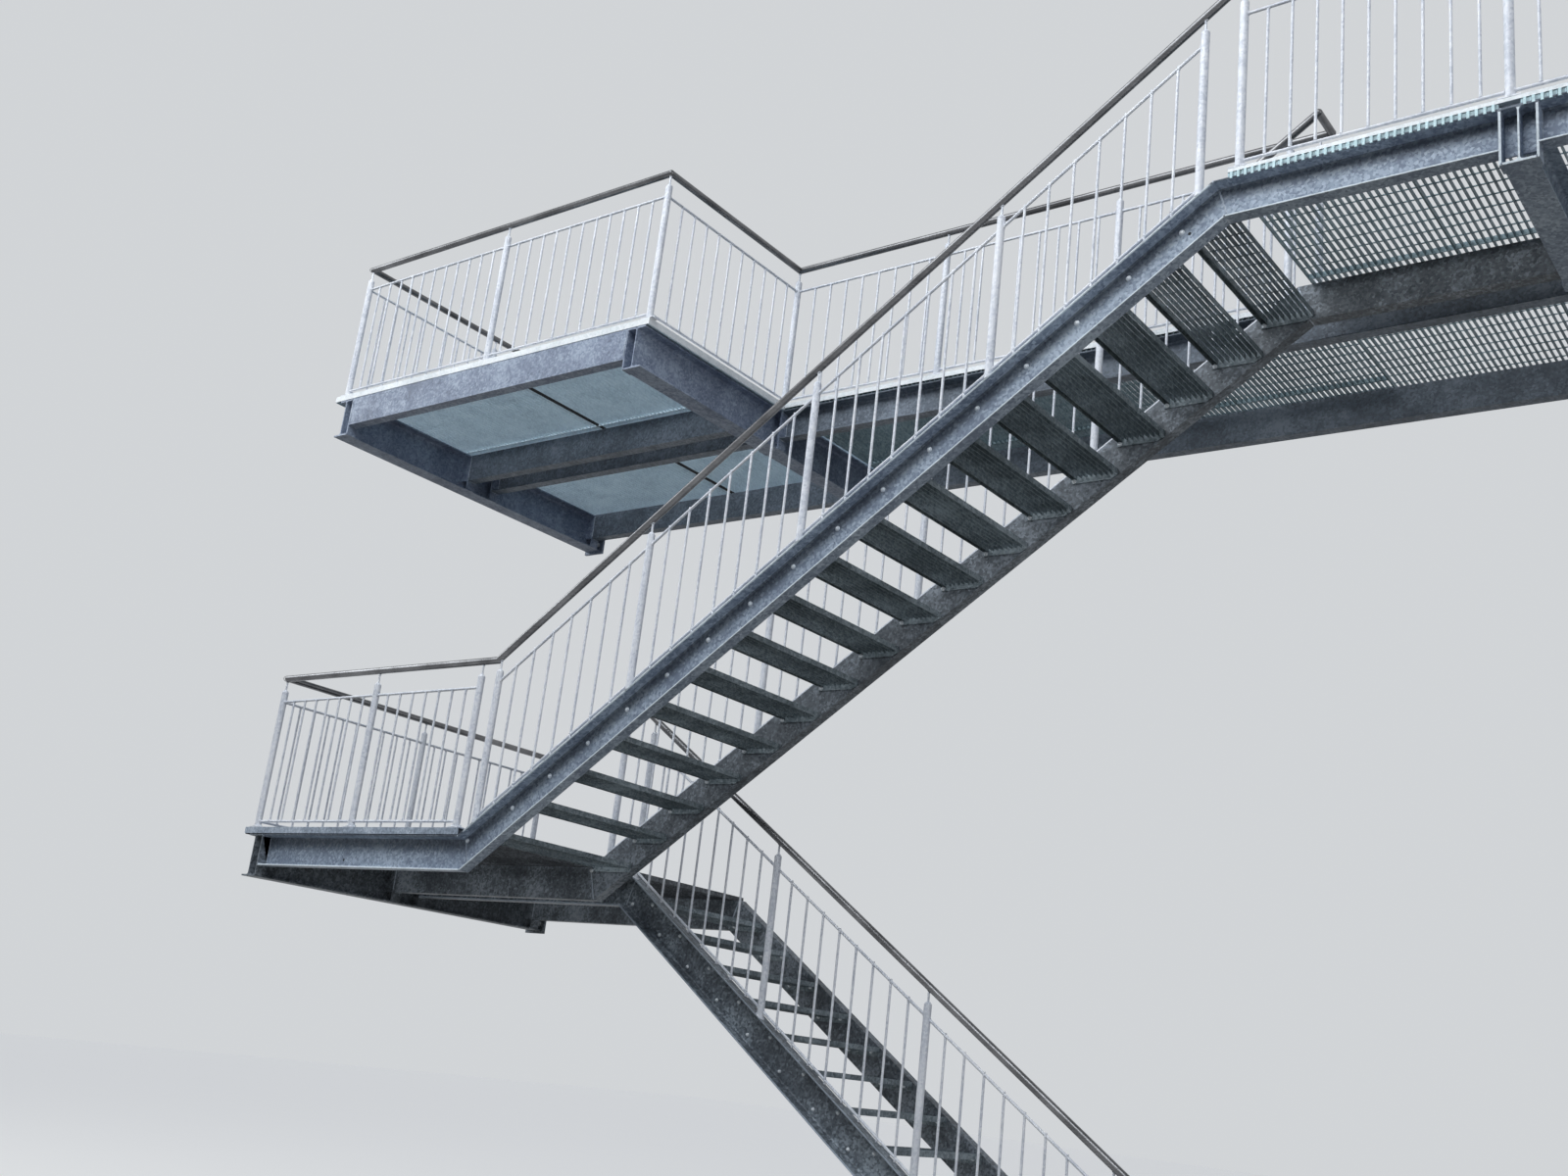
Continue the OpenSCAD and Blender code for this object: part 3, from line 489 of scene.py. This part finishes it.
def flight(treads, y0, y1, name, spots, head_r):
    """Fine details of the treads between the webs y0 and y1.

    spots: how far behind the front edge and below the top each bolt is; deeper treads have theirs lower.
    """
    rods, studs, nuts, heads = Mesh(), Mesh(), Mesh(), Mesh()
    webs = ((y0 - CHAN_TW, y0 + TREAD_END_T, -1), (y1 + CHAN_TW, y1 - TREAD_END_T, 1))
    for front, rear, z in treads:
        back = 1 if rear > front else -1
        lo, hi = sorted((front + back * (NOSE_W - SEAM), rear - back * SEAM))
        for y in rod_rows(y0 + TREAD_END_T, y1 - TREAD_END_T):
            twisted_rod(rods, lo, hi, y, z)
        for row, inset in enumerate(STUD_ROWS):
            for i in range(STUDS):
                y = y0 + STUD_START + (i + 0.5 * row) * STUD_PITCH
                studs.turned((front + back * inset, y, z), UP, STUD, 8)
        deeper = 0.0 if abs(rear - front) < DEEP_TREAD else DEEP_DROP
        for inset, drop in spots:
            x, z_bolt = front + back * inset, z - drop - deeper
            for y_web, y_plate, out in webs:
                dome(heads, (x, y_web, z_bolt), (0, out, 0), head_r, HEAD_H)
                bolt(nuts, (x, y_plate, z_bolt), (0, -out, 0), *TREAD_NUT)
    rods.object(name + "_cross_rods", TREAD_ZINC, "grating_steel")
    studs.object(name + "_nosing_studs", TREAD_ZINC, "grating_steel")
    nuts.object(name + "_nuts", BOLT_ZINC, "frame_steel")
    heads.object(name + "_bolt_heads", BOLT_ZINC, "frame_steel", smooth=True)


upper = [(X_LAND_END + SEAM, X_NOSE_UP + TREAD_D, Z_LAND)] + nosings(X_NOSE_UP, 1, UPPER_N)
lower = nosings(X_NOSE_LOW, -1, LOWER_N)
flight(upper, Y_A_OUT, Y_A_IN, "upper_tread", [(0.018, 0.042)], 0.0125)
flight(lower, Y_B_OUT, Y_B_WALL, "lower_tread", [(0.055, 0.030), (0.225, 0.030)], 0.0105)

# Holes left open in the outer web, at (x, z): dark discs, painted shade of the holes
OPEN_HOLES = ((6.227, 2.988), (0.861, -0.011))
HOLE = ((0.0085, 0), (0.0085, 0.0003), (0.0078, 0.0005))
holes = Mesh()
for x, z in OPEN_HOLES:
    holes.turned((x, Y_A_OUT - CHAN_TW, z), TO_FRONT, HOLE, 20)
holes.object("open_bolt_holes", DARK_GAP, "frame_steel")

# Joints between the balcony's panels, seen from below as dark strips: dark bars under the seams, painted
# shade of the gaps
JOINT_SECTION = ((-0.0045, 0.0), (-0.0035, -0.0012), (0.0035, -0.0012), (0.0045, 0.0), (0.0045, 0.018),
                 (-0.0045, 0.018))
JOINT_INSET = 0.005
joints = Mesh()
for x, (y0, y1) in ((X_DECK_LEFT + 1.560, LANE_A), (X_DECK_LEFT + 1.640, LANE_B)):
    joints.loft([[(x + a, y, Z_UP - DECK_H + b) for a, b in JOINT_SECTION]
                 for y in (y0 + JOINT_INSET, y1 - JOINT_INSET)])
joints.object("balcony_panel_joints", DARK_GAP, "grating_steel")


# ---------------------------------------------------------------- platform's edge cap, folded from sheet
CAP_W, CAP_LEG, CAP_R = 0.060, 0.005, 0.0045


def fold_profile(width, leg, height, t, r):
    """Section of a folded cap: how far in from its outer edge, and how high over the deck."""
    arc = [(math.cos(a), math.sin(a)) for a in (0.0, 0.52, 1.05, math.pi / 2)]
    outer = [(0, -leg)] + [(r - r * c, height - r + r * s) for c, s in arc]
    outer += [(width - r + r * c, height - r + r * s) for c, s in reversed(arc)] + [(width, 0)]
    return outer + [(width - t, 0), (width - t, height - t), (t, height - t), (t, -leg)]


cap = Mesh()
profile = fold_profile(CAP_W, CAP_LEG, STRIP_H, STRIP_T, CAP_R)
cap.loft([[(X_NOSE_TOP, Y_FRONT + d, Z_UP + h) for d, h in profile],
          [(X_DECK_END - d, Y_FRONT + d, Z_UP + h) for d, h in profile],
          [(X_DECK_END - d, Y_DECK_WALL, Z_UP + h) for d, h in profile]])
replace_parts(cap.object("platform_edge_cap", CAP_ZINC, "railing_steel"), "platform_edge_strip")

# Toothed bar that shows under the cap: a flat bar with a ribbed face, left out over the cantilever's end
COMB_BACK, COMB_FRONT, COMB_TOP, COMB_LOW = Y_FRONT + 0.010, Y_FRONT + 0.0045, -0.005, 0.002 - DECK_H
TOOTH_PITCH, TOOTH_W, TOOTH_TAPER, TOOTH_TOP, TOOTH_LOW = 0.0333, 0.0155, 0.002, -0.0055, -0.0395
TOOTH_TIP, TOOTH_ROOT = Y_FRONT - 0.002, COMB_FRONT + 0.0005
COMB_SECTION = ((COMB_FRONT, COMB_LOW), (COMB_FRONT, COMB_TOP), (COMB_BACK, COMB_TOP), (COMB_BACK, COMB_LOW))
TOOTH_SECTION = ((-TOOTH_W / 2, TOOTH_ROOT), (-TOOTH_W / 2 + TOOTH_TAPER, TOOTH_TIP),
                 (TOOTH_W / 2 - TOOTH_TAPER, TOOTH_TIP), (TOOTH_W / 2, TOOTH_ROOT))
comb = Mesh()
for x0, x1 in ((X_NOSE_TOP + GAP, NOTCH[0]), (NOTCH[1], X_BARS_END)):
    comb.loft([[(x, y, Z_UP + h) for y, h in COMB_SECTION] for x in (x0, x1)])
    for i in range(int((x1 - x0) / TOOTH_PITCH)):
        x = x0 + (i + 0.5) * TOOTH_PITCH
        comb.loft([[(x + a, y, Z_UP + h) for a, y in TOOTH_SECTION] for h in (TOOTH_LOW, TOOTH_TOP)])
comb.object("platform_toothed_bar", TOOTH_ZINC, "grating_steel")


# ---------------------------------------------------------------- railings: welds, feet and stubs
def side_points(x):
    return [(x, Y_RAIL), (x, (Y_RAIL_WALL + Y_RAIL) / 2), (x, Y_RAIL_WALL)]


def row(xs, y=Y_RAIL):
    return [(x, y) for x in xs]


X_FOOT_POST, X_GALLERY_POST = X_FOOT - 0.085, X_NOSE_TOP - 0.060
X_PLATFORM_POST, X_BEAM_POST = X_NOSE_TOP + FOOT_L / 2, X_PLATFORM - 0.033
platform_posts = (X_PLATFORM_POST, X_BEAM_POST, (X_BEAM_POST + X_RAIL_END) / 2, X_RAIL_END)
# Each level railing: its posts, the level of its deck, and whether the first post is another railing's
LEVEL = {
    "landing_side": (side_points(X_RAIL_LEFT), Z_LAND, True),
    "landing_front": (row(spaced(X_RAIL_LEFT, X_FOOT_POST, 2)), Z_LAND, False),
    "balcony_left": (side_points(X_RAIL_LEFT), Z_UP, True),
    "balcony_front": (row(spaced(X_RAIL_LEFT, X_RAIL_RIGHT, 2)), Z_UP, False),
    "balcony_right": ([(X_RAIL_RIGHT, Y_RAIL), (X_RAIL_RIGHT, Y_RAIL_B_OUT)], Z_UP, True),
    "gallery": (row(spaced(X_RAIL_RIGHT, X_GALLERY_POST, 3), Y_RAIL_B_OUT), Z_UP, True),
    "platform_front": (row(platform_posts), Z_UP, False),
    "end": (side_points(X_RAIL_END), Z_UP, True),
}
ROD_WELD, BALUSTER_WELD, FOOT_WELD, SEAT_WELD, PIN_WELD = 0.005, 0.0035, 0.006, 0.007, 0.004
FOOT_BOLT_OUT, STUB, IN_POST = 0.034, 0.022, math.sqrt(POST_R ** 2 - ROD_R ** 2)


def rod_welds(mesh, a, b):
    """Welds at both ends of a rod that runs between the axes of two posts."""
    d = (b - a).normalized()
    fillet(mesh, a + d * IN_POST, d, ROD_R, ROD_WELD)
    fillet(mesh, b - d * IN_POST, -d, ROD_R, ROD_WELD)


def infill_welds(mesh, a, b, height, spacing, trim=0.0, stub=0.0):
    """Welds and projecting ends of the balusters between a lower rod from a to b and the one above it.

    The balusters stand at most spacing apart, on the length that trim leaves of the bay next to a.
    """
    a, b = Vector(a), Vector(b)
    for z in (0.0, height):
        rod_welds(mesh, a + Vector((0, 0, z)), b + Vector((0, 0, z)))
    a += (b - a).normalized() * trim
    r, chamfer = BALUSTER_R, 0.001
    low_stub = [(r - chamfer, 0), (r, chamfer), (r, stub)]
    high_stub = [(r, 0), (r, stub * 0.6), (r - chamfer, stub * 0.6 + chamfer)]
    n = max(1, math.ceil(math.hypot(b.x - a.x, b.y - a.y) / spacing - 1e-6))
    for k in range(1, n):
        p = a.lerp(b, k / n)
        fillet(mesh, p + Vector((0, 0, ROD_R * 0.8)), UP, r, BALUSTER_WELD, 10)
        fillet(mesh, p + Vector((0, 0, height - ROD_R * 0.8)), DOWN, r, BALUSTER_WELD, 10)
        if stub:
            mesh.turned(p - Vector((0, 0, stub)), UP, low_stub, 16)
            mesh.turned(p + Vector((0, 0, height)), UP, high_stub, 16)


for name, (points, z, shared) in LEVEL.items():
    welds, feet = Mesh(), Mesh()
    d = (Vector(points[-1]) - Vector(points[0])).normalized()
    base = z + STRIP_H + FOOT_T
    for x, y in points[1:] if shared else points:
        fillet(welds, (x, y, base), UP, POST_R, FOOT_WELD, 24)
        fillet(welds, (x, y, z + RAIL_Z - HANDRAIL_R - 0.001), DOWN, PIN_R, PIN_WELD, 14)
        for s in (-1, 1):
            at = (x + d.x * s * FOOT_BOLT_OUT, y + d.y * s * FOOT_BOLT_OUT, base)
            bolt(feet, at, UP, *RAIL_NUT)
    spacing = BALUSTER_PITCH_WIDE if name == "gallery" else BALUSTER_PITCH
    for i in range(len(points) - 1):
        low_rod = [(*p, z + LOW_ROD_Z) for p in points[i:i + 2]]
        trim = POST_R + SEAT_GAP if shared and i == 0 else 0.0
        infill_welds(welds, *low_rod, TOP_ROD_Z - LOW_ROD_Z, spacing, trim)
    welds.object(name + "_rail_welds", RAIL_ZINC, "railing_steel", smooth=True)
    feet.object(name + "_rail_bolts", BOLT_ZINC, "railing_steel")


def flight_railing(name, xs, y, way):
    """Welds and baluster stubs of a railing on a flight; way is 1 up, -1 down along X."""
    welds = Mesh()
    x_axis, x_nose = (X_FOOT, X_NOSE_UP) if way > 0 else (X_LOWER, X_NOSE_LOW)

    def seat(x):
        return Z_LAND - CHAN_DROP + way * (x - x_axis) * SLOPE + HALF_DEPTH

    def pitch(x):
        return Z_LAND + way * (x - x_nose) * SLOPE

    for x in xs:
        fillet(welds, (x, y, seat(x)), UP, POST_R, SEAT_WELD, 24, (way * SLOPE, 0, 0))
        pin_top = pitch(x) + RAIL_Z - HANDRAIL_R * SLOPE_LEN / GOING
        fillet(welds, (x, y, pin_top), DOWN, PIN_R, PIN_WELD, 14, (-way * SLOPE, 0, 0))
    for x0, x1 in zip(xs, xs[1:]):
        low0, low1 = seat(x0) + ROD_CLEAR, seat(x1) + ROD_CLEAR
        height = pitch(x0) + TOP_ROD_Z - low0
        infill_welds(welds, (x0, y, low0), (x1, y, low1), height, BALUSTER_PITCH_WIDE, stub=STUB)
    welds.object(name, RAIL_ZINC, "railing_steel", smooth=True)


# The end posts stand back from the bends of the stringers and from the last tread
UPPER_POSTS_IN, LOWER_POSTS_IN, RAIL_OVERHANG = (0.070, 0.107), (0.050, 0.215), 0.100
upper_posts = spaced(X_FOOT + UPPER_POSTS_IN[0], X_HEAD - UPPER_POSTS_IN[1], 4)
lower_posts = spaced(X_LOWER + LOWER_POSTS_IN[0], X_LOWER + LOWER_N * GOING - LOWER_POSTS_IN[1], 3)
flight_railing("upper_outer_rail_welds", upper_posts, Y_RAIL, 1)
flight_railing("upper_inner_rail_welds", upper_posts, Y_RAIL_A_IN, 1)
flight_railing("lower_outer_rail_welds", lower_posts, Y_RAIL_B_OUT, -1)


# ---------------------------------------------------------------- handrails: joints and end caps
Z_RAIL_LAND, Z_RAIL_UP = Z_LAND + RAIL_Z, Z_UP + RAIL_Z
JOINTS = [((X_JOINT_FOOT, Y_RAIL, Z_RAIL_LAND), ALONG_X), ((X_JOINT_HEAD, Y_RAIL, Z_RAIL_UP), ALONG_X),
          ((X_RETURN, Y_MID, Z_RAIL_LAND), ALONG_Y), ((X_GALLERY_JOINT, Y_RAIL_B_OUT, Z_RAIL_UP), ALONG_X),
          ((X_RAIL_RIGHT, Y_RAIL_B_OUT - JOINT_BACK, Z_RAIL_UP), ALONG_Y)]
COLLAR = [(HANDRAIL_R - 0.001, -0.003), (HANDRAIL_R + 0.0006, -0.002), (HANDRAIL_R + 0.0006, 0.002),
          (HANDRAIL_R - 0.001, 0.003)]
x_low_end = lower_posts[-1] + RAIL_OVERHANG
low_end = (x_low_end, Y_RAIL_B_OUT, Z_LAND - (x_low_end - X_NOSE_LOW) * SLOPE + RAIL_Z)
ENDS = [((X_RAIL_LEFT, HANDRAIL_END, Z_RAIL_LAND), ALONG_Y),
        ((X_RAIL_LEFT, HANDRAIL_END, Z_RAIL_UP), ALONG_Y),
        ((X_RAIL_END, HANDRAIL_END, Z_RAIL_UP), ALONG_Y), (low_end, (GOING, 0, -RISE))]
END_CAP = [(HANDRAIL_R + 0.0004, 0)]
END_CAP += [(HANDRAIL_R * math.cos(t), 0.002 + 0.006 * math.sin(t)) for t in (0.0, 0.35, 0.7, 1.05, 1.4)]
tube_ends = Mesh()
for places, section in ((JOINTS, COLLAR), (ENDS, END_CAP)):
    for at, axis in places:
        tube_ends.turned(at, axis, section, 40)
tube_ends.object("handrail_joints", TUBE_STEEL, "handrail_steel", smooth=True)


def mitre_line(mesh, corner, before, after, width=0.0022):
    """Dark line round a tube's mitre: the run before leads to the corner, and the run after leaves it."""
    w, u, v = axes(before)
    cut = (w + Vector(after).normalized()).normalized()
    loops = []
    for out, shift in ((-0.001, -width / 2), (0.0005, -width / 2), (0.0005, width / 2), (-0.001, width / 2)):
        rim = [u * a + v * b for a, b in ring(HANDRAIL_R + out, 40)]
        loops.append([Vector(corner) + side + w * (shift - side.dot(cut) / w.dot(cut)) for side in rim])
    mesh.loft(loops, closed=True)


mitres = Mesh()
for x, z, way in ((X_RAIL_LEFT, Z_RAIL_LAND, -1), (X_RAIL_LEFT, Z_RAIL_UP, -1), (X_RAIL_RIGHT, Z_RAIL_UP, 1),
                  (X_RAIL_END, Z_RAIL_UP, 1)):
    mitre_line(mitres, (x, Y_RAIL, z), (way, 0, 0), ALONG_Y)
mitres.object("handrail_mitre_lines", DARK_GAP, "handrail_steel", smooth=True)


# ---------------------------------------------------------------- frame: weld seams and anchors
Z_UPPER_AXIS, Z_LAND_AXIS = Z_UP - DECK_H - BEAM_H / 2, 0.0
ANCHOR_X, ANCHOR_Y, ANCHOR_Z = 0.042, -0.020, 0.080
ROOT, FLANGE = 0.016, 0.012  # how far a channel's root fillet and its flange reach in from its edge
# The stringers' lines: the face of the web, and the side to which the flanges point
LINES = ((Y_A_OUT, -1), (Y_A_IN, 1), (Y_B_OUT, -1), (Y_B_WALL, 1))
BALCONY_FRONT_LINE = (Y_FRONT, 1)
ALL = (0, 1, 2, 3)
# Each cantilever: its place, its beam's mid level, and the lines of the channels on its left and right
CANTILEVERS = {
    "landing": (0.0, Z_LAND_AXIS, (), ALL),
    "balcony_left": (0.0, Z_UPPER_AXIS, (), ALL),
    "balcony_right": (X_BALCONY, Z_UPPER_AXIS, ALL, (2, 3)),
    "platform": (X_PLATFORM, Z_UPPER_AXIS, ALL, ALL),
    "end": (X_END, Z_UPPER_AXIS, ALL, ()),
}


def seat_welds(mesh, x, z, y_face, side, way):
    """Welds between an end plate, its beam's flanges and the channel that ends on it."""
    top, low = z + BEAM_H / 2, z - BEAM_H / 2
    face, plate = x + way * (BEAM_B / 2 + PLATE_T), x + way * BEAM_B / 2
    outer, tip = y_face + side * CHAN_TW, y_face + side * CHAN_B
    for y, out in ((outer, side), (y_face, -side)):
        ends = [(face, y, level) for level in (top - CHAN_H + ROOT, top - ROOT)]
        bead(mesh, *ends, (way, out, 0), SEAT_RUN)
    for level, up in ((top - CHAN_H, -1), (top - CHAN_H + FLANGE, 1), (top - FLANGE, -1)):
        bead(mesh, (face, outer + side * FLANGE, level), (face, tip, level), (way, 0, up), SEAT_RUN)
    for y, out in ((y_face, -side), (tip, side)):
        for z0, z1 in ((top - 0.011, top - 0.001), (low + 0.001, low + 0.011)):
            bead(mesh, (plate, y, z0), (plate, y, z1), (-way, out, 0), PLATE_RUN)


for name, (x, z, left, right) in CANTILEVERS.items():
    welds, anchors = Mesh(), Mesh()
    for way, chosen in ((-1, left), (1, right)):
        for i in chosen:
            y_face, side = BALCONY_FRONT_LINE if i == 0 and name.startswith("balcony") else LINES[i]
            seat_welds(welds, x, z, y_face, side, way)
    for sx in (-1, 1):
        for sz in (-1, 1):
            bolt(anchors, (x + sx * ANCHOR_X, ANCHOR_Y, z + sz * ANCHOR_Z), TO_FRONT, *WALL_NUT)
    welds.object(name + "_seat_welds", WELD_ZINC, "frame_steel", smooth=True)
    anchors.object(name + "_anchor_nuts", BOLT_ZINC, "frame_steel")


def bend_welds(mesh, x, z, before, after, y_face, side):
    """Seam round a channel at a bend of its centre line: before and after are its slopes."""
    tilt = (math.atan(before) + math.atan(after)) / 2
    half = (math.atan(after) - math.atan(before)) / 2
    across = Vector((-math.sin(tilt), 0, math.cos(tilt))) / math.cos(half)
    centre = Vector((x, 0, z))
    outer, tip = y_face + side * CHAN_TW, y_face + side * CHAN_B
    h = CHAN_H / 2

    def at(offset, y):
        p = centre + across * offset
        return (p.x, y, p.z)

    bead(mesh, at(-h + 0.020, outer), at(h - 0.020, outer), (0, side, 0), BEND_RUN)
    bead(mesh, at(-h + 0.004, y_face), at(h - 0.004, y_face), (0, -side, 0), BACK_RUN)
    for s in (-1, 1):
        bead(mesh, at(s * h, y_face + side * 0.003), at(s * h, tip), across * s, BEND_RUN)
        bead(mesh, at(s * (h - CHAN_TF), tip), at(s * h, tip), (0, side, 0), TIP_RUN)


bends = Mesh()
for y_face, side in LINES[:2]:
    bend_welds(bends, X_FOOT, Z_LAND - CHAN_DROP, 0, SLOPE, y_face, side)
    bend_welds(bends, X_HEAD, Z_UP - CHAN_DROP, SLOPE, 0, y_face, side)
for y_face, side in LINES[2:]:
    bend_welds(bends, X_LOWER, Z_LAND - CHAN_DROP, 0, -SLOPE, y_face, side)
bends.object("stringer_bend_welds", WELD_ZINC, "frame_steel", smooth=True)

# Nuts on the foot plates, before and behind the cut end of each lower stringer
FOOT_PLATE_T, FOOT_NUTS_OUT = 0.012, 0.055
Z_CUT = Z_GROUND + FOOT_PLATE_T
X_CUT = X_LOWER + (Z_LAND - CHAN_DROP - Z_CUT) / SLOPE
CUT_LEN = CHAN_H * SLOPE_LEN / RISE
feet = Mesh()
for y in (Y_B_OUT - CHAN_B / 2, Y_B_WALL + CHAN_B / 2):
    for s in (-1, 1):
        bolt(feet, (X_CUT + s * (CUT_LEN + FOOT_NUTS_OUT) / 2, y, Z_CUT), UP, *FOOT_NUT)
feet.object("foot_anchor_nuts", BOLT_ZINC, "frame_steel")


# ---------------------------------------------------------------- camera, floor and light
# Fitted to the photograph: the focal length is in pixels of its width
SENSOR, FOCAL_PX, WIDTH_PX = 36.0, 1621.344, 1600.0
CAMERA_AT, CAMERA_TURN = (9.0328, -8.6979, -0.9400), (106.9084, -6.4776, 36.9156)
scene = bpy.context.scene
cam_data = bpy.data.cameras.new("camera")
cam_data.sensor_fit = "HORIZONTAL"
cam_data.sensor_width = SENSOR
cam_data.lens = SENSOR * FOCAL_PX / WIDTH_PX
cam_data.clip_end = 200.0
camera = bpy.data.objects.new("camera", cam_data)
camera.location = CAMERA_AT
camera.rotation_euler = [math.radians(a) for a in CAMERA_TURN]
scene.collection.objects.link(camera)
scene.camera = camera

# Backdrop as it is seen, and the plain light that it gives
BACKDROP, AMBIENT = (0.64, 0.66, 0.68), (0.13, 0.155, 0.19)
FLOOR_COLOUR, FLOOR_GLOW, FLOOR_DROP = (0.32, 0.305, 0.27), (0.52, 0.535, 0.56), 0.0005


def seen_directly(tree):
    """1 for rays that show a surface as it is: from the camera, in a reflection or through glass."""
    path = node(tree, "ShaderNodeLightPath")
    seen = math_node(tree, "MAXIMUM", path.outputs["Is Camera Ray"], path.outputs["Is Glossy Ray"])
    return math_node(tree, "MAXIMUM", seen, path.outputs["Is Transmission Ray"])


def floor_material(name, colour, glow):
    """Pale paint with faint clouds, lifted towards the backdrop where it is seen."""
    mat, tree, bsdf = new_material(name)
    coord = node(tree, "ShaderNodeTexCoord").outputs["Object"]
    shade = tuple(c * 0.985 for c in colour)
    paint = ramp(tree, noise(tree, coord, 0.8, 5.0), ((0.3, shade), (0.7, colour)))
    tree.links.new(paint, bsdf.inputs["Base Color"])
    bsdf.inputs["Emission Color"].default_value = (*glow, 1)
    bsdf.inputs["Roughness"].default_value = 0.85
    tree.links.new(seen_directly(tree), bsdf.inputs["Emission Strength"])
    return mat


floor_data = bpy.data.meshes.new("floor")
corners = [(-40, -40), (50, -40), (50, 50), (-40, 50)]
floor_data.from_pydata([(x, y, Z_GROUND - FLOOR_DROP) for x, y in corners], [], [(0, 1, 2, 3)])
floor_data.materials.append(floor_material("floor_paint", FLOOR_COLOUR, FLOOR_GLOW))
floor_obj = bpy.data.objects.new("floor", floor_data)
scene.collection.objects.link(floor_obj)

world = bpy.data.worlds.new("studio")
scene.world = world
world.use_nodes = True
wt = world.node_tree
bg = wt.nodes["Background"]
mix = node(wt, "ShaderNodeMix", data_type="RGBA")
wt.links.new(seen_directly(wt), mix.inputs["Factor"])
mix.inputs["A"].default_value = (*AMBIENT, 1)
mix.inputs["B"].default_value = (*BACKDROP, 1)
wt.links.new(mix.outputs["Result"], bg.inputs["Color"])
bg.inputs["Strength"].default_value = 1.0


def area(name, place, target, size, power, colour):
    """Soft lamp at place that points at target."""
    data = bpy.data.lights.new(name, "AREA")
    data.shape = "RECTANGLE"
    data.size, data.size_y = size
    data.energy = power
    data.color = colour
    obj = bpy.data.objects.new(name, data)
    obj.location = place
    obj.rotation_euler = (Vector(target) - Vector(place)).to_track_quat("-Z", "Y").to_euler()
    obj.visible_camera = False
    scene.collection.objects.link(obj)


COOL, NEUTRAL = (0.93, 0.97, 1.0), (0.97, 0.98, 1.0)
area("key", (4.0, -8.0, 8.5), (6.0, -2.5, 2.6), (11, 5), 760, COOL)
area("side", (-9.0, -7.0, 8.0), (3.0, -2.0, 1.5), (5, 5), 430, COOL)
area("right", (17.0, -5.5, 3.0), (4.0, -1.5, 0.0), (5, 5), 230, NEUTRAL)

scene.view_settings.view_transform = "Standard"
